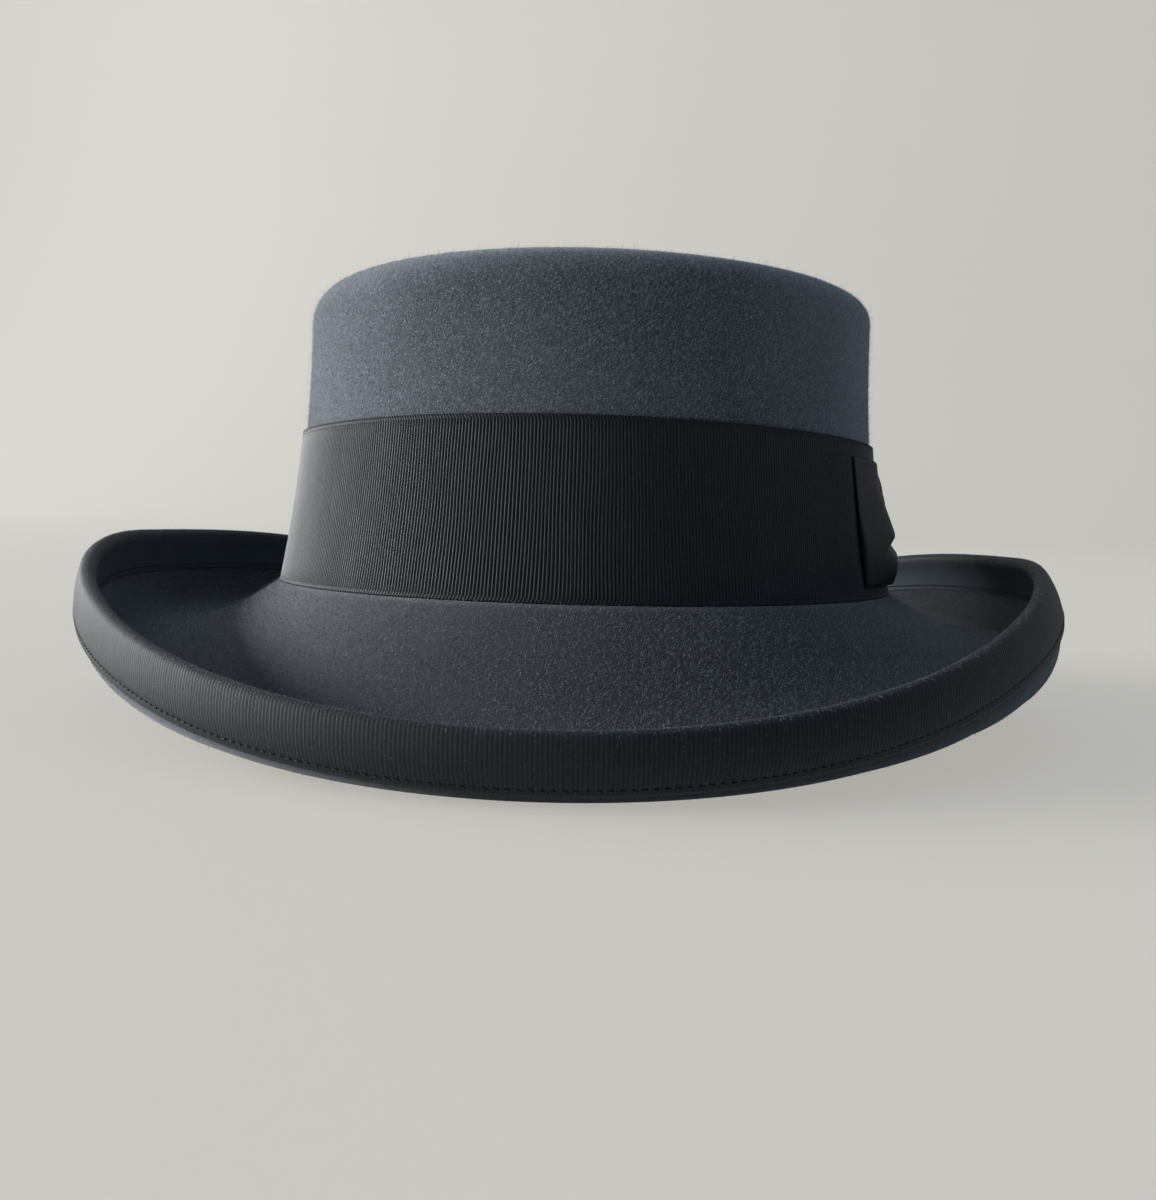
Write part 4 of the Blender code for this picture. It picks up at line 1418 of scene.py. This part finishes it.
SWEATBAND_WIDTH = 0.038
SWEATBAND_LEATHER = 0.001
SWEATBAND_FOOT = 0.0005
REED_RADIUS = 0.001
LINING_THICKNESS = 0.0005
LINING_TUCK = 0.018
PIPING_RADIUS = 0.0009
INSIDE_COLUMNS = 300
TWIST_LENGTH = 0.0024
WHIP_PITCH = 0.0016
SEAM_BOW_HALF_LENGTH = 0.013
SEAM_BOW_END_HALF_HEIGHT = 0.0045
SEAM_BOW_WAIST_HALF_HEIGHT = 0.0016
SEAM_BOW_THICKNESS = 0.0012
SEAM_BOW_HEIGHT = 0.012
BAND_STITCH_PITCH = 0.0032
BAND_STITCH_RISE = 0.0022
BAND_STITCH_SIZE = (1.3, 1.2)
SWEATBAND_WAVE = 0.00012
SWEATBAND_ROWS = 13
SEAM_BOW_SIDES = 24
LINING_ROWS = 14
TIP_PLACES = np.linspace(0.06, 1, 16)
TIP_PUCKER = 0.00012
TIP_SAG = 0.0002


def strip_outline(thickness, low, high, rows):
    """A strip's closed outline as depth and height: up its hidden face, over its edge and down again."""
    round_edge = thickness / 2
    bends = np.linspace(0, math.pi, 7)[1:-1]
    heights = np.linspace(low + round_edge, high - round_edge, rows)
    outline = [(0.0, height) for height in heights]
    outline += zip(round_edge * (1 - np.cos(bends)), high - round_edge + round_edge * np.sin(bends))
    outline += [(thickness, height) for height in heights[::-1]]
    outline += zip(round_edge * (1 + np.cos(bends)), low + round_edge - round_edge * np.sin(bends))
    return outline


def inside_path(angle):
    return oval(angle, -SWEATBAND_DEPTH, 0.0)


def inside_angles(columns=INSIDE_COLUMNS):
    return even_angles(inside_path, columns)


def cord_rings(angles, depth, height, radius, lobes, twists, sides=10):
    """A cord round the inside of the hat. Its lobes wind round it as the strands of a twisted cord do."""
    turn_by = np.linspace(0, 2 * math.pi, len(angles), endpoint=False) * twists
    rings = []
    for side in range(sides):
        around = 2 * math.pi * side / sides
        bulge = radius * (0.82 + 0.18 * np.abs(np.cos(lobes * (around - turn_by) / 2)))
        level = height + bulge * math.sin(around)
        rings.append(wall(angles, depth - bulge * math.cos(around), level))
    return np.array(rings)


def leather_group(name):
    """Grain of polished leather: small cells with creases between them, as a tone and a height."""
    inputs = {"Place": VECTOR, "Cell": FLOAT}
    nodes, given, result = new_group(name, "ShaderNodeTree", inputs, {"Tone": FLOAT, "Height": FLOAT})
    scale = nodes.math("DIVIDE", 1.0, given["Cell"])
    spots = {"Vector": given["Place"], "Scale": scale}
    cells = nodes.add("ShaderNodeTexVoronoi", spots).outputs["Distance"]
    pores = nodes.noise(given["Place"], nodes.product(scale, 2.6), 3.0, 0.6)
    grain = nodes.total(nodes.product(cells, -0.6), nodes.product(pores, 0.5))
    nodes.feed(result.inputs["Tone"], nodes.spread(grain, -0.3, 0.3))
    nodes.feed(result.inputs["Height"], grain)
    return nodes.tree


def leather_material(look):
    material, nodes, shader = new_material("sweatband leather", {"Specular IOR Level": 0.45})
    inputs = {"Place": object_place(nodes), "Cell": LEATHER_CELL}
    grain = use_group(nodes, "Leather grain", leather_group, inputs)
    wear = worn(nodes, LEATHER_PATCH)
    light = rgba(look.leather, 1.9)
    base = nodes.mix(grain["Tone"], rgba(look.leather), light)
    base = nodes.mix(nodes.product(wear, 0.35), base, light)
    dress(nodes, shader, base, nodes.spread(wear, 0.0, 1.0, 0.42, 0.58), grain["Height"], LEATHER_RELIEF)
    return material


def satin_material(look):
    constants = {"Specular IOR Level": 0.5, "Sheen Weight": 0.15, "Sheen Roughness": 0.3}
    material, nodes, shader = new_material("lining satin", constants)
    threads = yarn(nodes, surface_uv(nodes), SATIN_THREAD)
    dark = rgba(look.satin)
    base = nodes.mix(nodes.spread(threads, 0.3, 0.7), dark, rgba(look.satin, 1.8))
    base = nodes.mix(nodes.product(worn(nodes, SATIN_PATCH), 0.3), base, dark)
    dress(nodes, shader, base, nodes.spread(threads, 0.3, 0.7, 0.3, 0.46), threads, SATIN_RELIEF)
    return material


def cord_material(look, name):
    constants = {"Specular IOR Level": 0.35, "Sheen Weight": 0.1, "Sheen Roughness": 0.4}
    material, nodes, shader = new_material(name, constants)
    strands = yarn(nodes, surface_uv(nodes), CORD_STRAND, CORD_LEAN)
    base = nodes.mix(nodes.spread(strands, 0.3, 0.7), rgba(look.cord), rgba(look.cord, 2.2))
    dress(nodes, shader, base, nodes.spread(strands, 0.3, 0.7, 0.55, 0.75), strands, CORD_RELIEF)
    return material


def steel_material():
    material, nodes, shader = new_material("rim wire steel", {"Metallic": 1.0})
    drawn = nodes.noise(object_place(nodes), 1800.0, 3.0, 0.6)
    base = nodes.mix(nodes.spread(drawn, 0.3, 0.7), STEEL_DARK, STEEL_LIGHT)
    base = nodes.mix(nodes.product(worn(nodes, STEEL_PATCH), 0.4), base, STEEL_STAIN)
    dress(nodes, shader, base, nodes.spread(drawn, 0.3, 0.7, 0.28, 0.45), drawn, STEEL_RELIEF)
    return material


class HAT_OT_sweatband(bpy.types.Operator):
    """Fit the leather sweatband, its reed, its stitches and its seam bow"""

    bl_idname = "hat.sweatband"
    bl_label = "Sweatband"

    def execute(self, context):
        look, ribbon = context.scene.hat_inside, context.scene.hat_ribbon
        angles, run = inside_angles()
        wave = SWEATBAND_WAVE * (1 + np.sin(4 * angles + 0.7))
        top = SWEATBAND_FOOT + SWEATBAND_WIDTH
        rings = []
        for depth, height in strip_outline(SWEATBAND_LEATHER, SWEATBAND_FOOT, top, SWEATBAND_ROWS):
            loose = wave * (height / SWEATBAND_WIDTH) ** 2
            rings.append(wall(angles, SWEATBAND_DEPTH + depth + loose, height))
        piece = put_rings("sweatband_leather", rings, leather_material(look), "leather", "sweatband")
        self.reed(look, run)
        self.stitches(ribbon, run)
        self.seam_bow(ribbon)
        return {"FINISHED"}

    def reed(self, look, run):
        """The reed in its whipped cover along the sweatband's foot."""
        wraps = round(run / WHIP_PITCH)
        angles, _ = inside_angles(wraps * STATIONS_PER_RIB)
        height = SWEATBAND_FOOT - GAP - REED_RADIUS
        rings = cord_rings(angles, SWEATBAND_DEPTH + REED_RADIUS, height, REED_RADIUS, 2, wraps)
        put_rings("sweatband_reed_cord", rings, cord_material(look, "reed cover"), "reed", "sweatband_reed")

    def stitches(self, ribbon, run):
        angles, _ = inside_angles(round(run / BAND_STITCH_PITCH))
        face = SWEATBAND_DEPTH + SWEATBAND_LEATHER
        line = wall(angles, face, SWEATBAND_FOOT + BAND_STITCH_RISE)
        out = wall(angles, face + 1.0, SWEATBAND_FOOT + BAND_STITCH_RISE) - line
        thread = thread_material(ribbon, "sweatband thread")
        long, wide = BAND_STITCH_SIZE
        size = (long * ribbon.stitch_length, wide * ribbon.stitch_width)
        put_piece(lay_stitches("sweatband_stitches", line, out, *size, thread), thread, "leather")

    def seam_bow(self, ribbon):
        """The small flat bow over the sweatband's joint, narrow at its waist."""
        material = ribbon_material(ribbon, "seam bow ribbon")
        depth = SWEATBAND_DEPTH + SWEATBAND_LEATHER + GAP
        ribs = round(2 * SEAM_BOW_HALF_LENGTH / ribbon.rib_pitch)
        shares = np.linspace(-1, 1, ribs * STATIONS_PER_RIB + 1)
        angles = math.pi + shares * SEAM_BOW_HALF_LENGTH / HALF_WIDTH
        spread = SEAM_BOW_END_HALF_HEIGHT - SEAM_BOW_WAIST_HALF_HEIGHT
        half = SEAM_BOW_WAIST_HALF_HEIGHT + spread * np.abs(shares) ** 0.8
        rings = []
        for turn_by in np.linspace(0, 2 * math.pi, SEAM_BOW_SIDES, endpoint=False):
            rise = np.sign(math.cos(turn_by)) * abs(math.cos(turn_by)) ** 0.5
            swell = (1 - math.sin(turn_by)) / 2 * (0.75 + 0.25 * np.cos(math.pi * (np.abs(shares) - 0.5)))
            height = SEAM_BOW_HEIGHT + half * rise
            rings.append(wall(angles, depth + SEAM_BOW_THICKNESS * swell, height))
        rings = np.array(rings).transpose(1, 0, 2)
        mesh = capped_mesh("seam_bow_ribbon", rings)
        count = len(mesh.vertices)
        along = np.append(np.repeat(shares, SEAM_BOW_SIDES), (-1.0, 1.0))
        attach(mesh, "ribbed", np.ones(count))
        attach(mesh, "edge", np.full(count, SEAM_BOW_END_HALF_HEIGHT))
        attach(mesh, "run", along * SEAM_BOW_HALF_LENGTH + SEAM_BOW_HALF_LENGTH)
        attach(mesh, "hem", np.zeros((count, 3)))
        pitch = 2 * SEAM_BOW_HALF_LENGTH / ribs
        piece = press_ribs("seam_bow_ribbon", mesh, pitch, ribbon, material, BOW_RIB_DEPTH)
        put_piece(piece, material, "satin", "sweatband_bow")


class HAT_OT_lining(bpy.types.Operator):
    """Hang the satin lining and its piping in the crown"""

    bl_idname = "hat.lining"
    bl_label = "Lining"

    def execute(self, context):
        look = context.scene.hat_inside
        satin = satin_material(look)
        angles, run = inside_angles(2 * INSIDE_COLUMNS)
        top = SHOULDER - 2 * PIPING_RADIUS - GAP
        folds = 0.5 + 0.3 * np.sin(46 * angles + 0.8 * np.sin(3 * angles)) + 0.2 * np.sin(29 * angles + 1.3)
        rings = []
        for depth, height in strip_outline(LINING_THICKNESS, LINING_TUCK, top, LINING_ROWS):
            gather = look.pleat * folds * ((height - LINING_TUCK) / (top - LINING_TUCK)) ** 0.7
            rings.append(wall(angles, LINING_DEPTH + depth + gather, height))
        piece = put_rings("lining_side_satin", rings, satin, "satin", "lining_side")
        self.tip(satin)
        twists = round(run / TWIST_LENGTH)
        angles, _ = inside_angles(twists * 2 * STATIONS_PER_RIB)
        height = SHOULDER - PIPING_RADIUS
        rings = cord_rings(angles, LINING_DEPTH + PIPING_RADIUS, height, PIPING_RADIUS, 2, twists)
        put_rings("lining_piping_cord", rings, cord_material(look, "piping cord"), "satin", "lining_piping")
        return {"FINISHED"}

    def tip(self, satin):
        """The oval of satin under the crown's top, slightly puckered along its seam."""
        angles, _ = inside_angles()
        edge = wall(angles, LINING_DEPTH + PIPING_RADIUS, SHOULDER + GAP)
        rings = []
        for level, places in ((0.0, TIP_PLACES), (LINING_THICKNESS, TIP_PLACES[::-1])):
            for place in places:
                ring = edge * np.array([place, place, 1.0])
                pucker = TIP_PUCKER * place**6 * np.sin(60 * angles)
                ring[:, 2] += level - TIP_SAG * (1 - place**2) + pucker
                rings.append(ring)
        piece = add_object("lining_tip_satin", capped_mesh("lining_tip_satin", np.array(rings)))
        put_piece(piece, satin, "satin", "lining_tip")


class HAT_OT_wire(bpy.types.Operator):
    """Give the wire inside the rim its steel"""

    bl_idname = "hat.wire"
    bl_label = "Rim wire"

    def execute(self, context):
        wire = bpy.data.objects["brim_wire"]
        wire.data.materials.clear()
        wire.data.materials.append(steel_material())
        return {"FINISHED"}


# Stage


FLOOR_HALF_WIDTH = 40.0
FLOOR_FRONT = -40.0
BACKDROP_PLACE = 7.2
BACKDROP_TOP = 9.9
SWEEP_RADIUS = 2.7
PLAIN_FLOOR = (-4.6, -2.4)
WINDOW_SIZE = (10.5, 1.95)
WINDOW_PLACE = (-7.9, 0.45, 2.2)
WINDOW_AIM = (0.0, 0.0, 0.06)
WINDOW_COLOUR = (1.0, 0.985, 0.96)
ROOM_COLOUR = (0.68, 0.87, 1.08, 1.0)
WINDOW_SIDE_COLOUR = (1.08, 1.06, 1.02, 1.0)
FRAME_WIDTH = 36.0

# How the room's light changes: from where to where along the way it comes, and its strength there
ROOM_BACKWARD = (-0.7, 0.7, 0.45, 1.55)
ROOM_UPWARD = (0.0, 0.8, 1.2, 1.28)
ROOM_BOW_SIDE = (0.0, 0.9, 1.0, 0.55)
ROOM_PALE = (0.1, -0.6)


class HAT_OT_stage(bpy.types.Operator):
    """Set up the floor, the backdrop, the light and the camera"""

    bl_idname = "hat.stage"
    bl_label = "Stage"

    def execute(self, context):
        look = context.scene.hat_stage
        context.scene.view_settings.view_transform = "Standard"
        self.sweep(look)
        self.lights(context, look)
        self.camera(context, look)
        return {"FINISHED"}

    def sweep(self, look):
        """A pale floor that curves up into a backdrop."""
        start = BACKDROP_PLACE - SWEEP_RADIUS
        line = [(FLOOR_FRONT, 0.0), (start, 0.0)]
        for bend in np.linspace(0, math.pi / 2, 13)[1:]:
            line.append((start + SWEEP_RADIUS * math.sin(bend), SWEEP_RADIUS * (1 - math.cos(bend))))
        line.append((BACKDROP_PLACE, BACKDROP_TOP))
        sides = (-FLOOR_HALF_WIDTH, FLOOR_HALF_WIDTH)
        points = np.array([(side, y, z) for y, z in line for side in sides])
        here = 2 * np.arange(len(line) - 1)
        mesh = make_mesh("floor", points, [np.stack([here, here + 1, here + 3, here + 2], 1)])
        material, nodes, shader = new_material("pale floor", {"Roughness": 0.9, "Specular IOR Level": 0.1})
        patches = nodes.noise(object_place(nodes), 1.0, 2.0, 0.5)
        base = nodes.mix(patches, rgba(look.floor), rgba(look.floor, 0.94))
        nodes.feed(shader["Base Color"], base)
        self.brighten(nodes, shader, look)
        floor = add_object("floor", mesh)
        floor.data.materials.append(material)

    def brighten(self, nodes, shader, look):
        """Shows the camera a paler floor than the one that lights the hat, with the hat's shadow kept."""
        glow = nodes.add("ShaderNodeEmission", {"Color": rgba(look.floor), "Strength": 1.0}).outputs[0]
        lit = shader["Base Color"].node.outputs[0]
        side = nodes.axes(object_place(nodes))["X"]
        plain = nodes.spread(side, *PLAIN_FLOOR, 1.0, look.glow)
        rays = nodes.add("ShaderNodeLightPath").outputs
        seen = nodes.math("MAXIMUM", rays["Is Camera Ray"], rays["Is Glossy Ray"])
        seen = nodes.math("MAXIMUM", seen, rays["Is Transmission Ray"])
        mixed = nodes.add("ShaderNodeMixShader", {0: nodes.product(seen, plain), 1: lit, 2: glow})
        out = next(node for node in nodes.tree.nodes if node.type == "OUTPUT_MATERIAL")
        nodes.feed(out.inputs["Surface"], mixed.outputs[0])

    def lights(self, context, look):
        world = bpy.data.worlds.new("soft room")
        world.use_nodes = True
        nodes = Nodes(world.node_tree)
        way = nodes.axes(nodes.add("ShaderNodeTexCoord").outputs["Generated"])
        side = nodes.spread(way["Y"], *ROOM_BACKWARD)
        low, high, dark, light = ROOM_UPWARD
        upward = nodes.spread(way["Z"], low, high, dark * look.fill, light * look.fill)
        dim = nodes.spread(way["X"], *ROOM_BOW_SIDE)
        pale = nodes.spread(way["X"], *ROOM_PALE)
        background = world.node_tree.nodes["Background"].inputs
        nodes.feed(background["Color"], nodes.mix(pale, ROOM_COLOUR, WINDOW_SIDE_COLOUR))
        nodes.feed(background["Strength"], nodes.product(side, upward, dim))
        context.scene.world = world
        lamp = bpy.data.lights.new("window", "AREA")
        lamp.shape = "RECTANGLE"
        lamp.size, lamp.size_y = WINDOW_SIZE
        lamp.energy = look.key_power
        lamp.color = WINDOW_COLOUR
        aim_at(add_object("window", lamp), WINDOW_PLACE, WINDOW_AIM)

    def camera(self, context, look):
        """Places the camera where it sees the hat as the photograph does."""
        yaw, pitch, roll = look.camera_yaw, look.camera_pitch, look.camera_roll
        level = math.cos(pitch)
        ahead = np.array([math.sin(yaw) * level, math.cos(yaw) * level, math.sin(pitch)])
        right = np.cross(ahead, UP)
        right /= np.linalg.norm(right)
        up = np.cross(right, ahead)
        rolled_right = math.cos(roll) * right + math.sin(roll) * up
        rolled_up = -math.sin(roll) * right + math.cos(roll) * up
        axes = np.stack([rolled_right, rolled_up, -ahead], 1)
        spot = np.array([look.camera_side, -look.camera_distance, look.camera_height])
        turn_back = np.array(Matrix.Rotation(-look.hat_turn, 3, "Z"))
        data = bpy.data.cameras.new("camera")
        data.lens = look.lens
        data.sensor_width = FRAME_WIDTH
        data.clip_start = 0.01
        camera = add_object("camera", data)
        stand(camera, turn_back @ axes, turn_back @ spot + PLACE)
        context.scene.camera = camera


def stand(piece, axes, spot):
    """Places a camera or a lamp by its three axes and its spot."""
    matrix = np.eye(4)
    matrix[:3, :3] = axes
    matrix[:3, 3] = spot
    piece.matrix_world = Matrix(matrix.tolist())


def aim_at(piece, spot, target):
    """Stands a lamp at a spot and turns it to a target."""
    way = np.array(target) - np.array(spot)
    back = -way / np.linalg.norm(way)
    right = np.cross(UP, back)
    right /= np.linalg.norm(right)
    stand(piece, np.stack([right, np.cross(back, right), back], 1), spot)


class HAT_PT_panel(bpy.types.Panel):
    """Lists what makes the hat"""

    bl_idname = "HAT_PT_panel"
    bl_label = "Felt Top Hat"
    bl_space_type = "VIEW_3D"
    bl_region_type = "UI"
    bl_category = "Hat"

    def draw(self, context):
        for operator in OPERATORS:
            self.layout.operator(operator.bl_idname)
        for name in LOOKS:
            box = self.layout.box()
            look = getattr(context.scene, name)
            for key in look.bl_rna.properties.keys():
                if key not in ("rna_type", "name"):
                    box.prop(look, key)


LOOKS = {
    "hat_felt": FeltLook,
    "hat_ribbon": RibbonLook,
    "hat_inside": InsideLook,
    "hat_stage": StageLook,
}
OPERATORS = (HAT_OT_stage, HAT_OT_crown, HAT_OT_brim, HAT_OT_band, HAT_OT_binding, HAT_OT_bow)
OPERATORS += (HAT_OT_sweatband, HAT_OT_lining, HAT_OT_wire)
CLASSES = (*LOOKS.values(), *OPERATORS, HAT_PT_panel)


def register():
    for made in CLASSES:
        bpy.utils.register_class(made)
    for name, look in LOOKS.items():
        setattr(bpy.types.Scene, name, PointerProperty(type=look))


def unregister():
    for name in LOOKS:
        delattr(bpy.types.Scene, name)
    for made in reversed(CLASSES):
        bpy.utils.unregister_class(made)


def main():
    register()
    bpy.ops.hat.stage()
    bpy.ops.hat.crown()
    bpy.ops.hat.brim()
    bpy.ops.hat.band()
    bpy.ops.hat.binding()
    bpy.ops.hat.bow()
    bpy.ops.hat.sweatband()
    bpy.ops.hat.lining()
    bpy.ops.hat.wire()


if __name__ == "__main__":
    main()
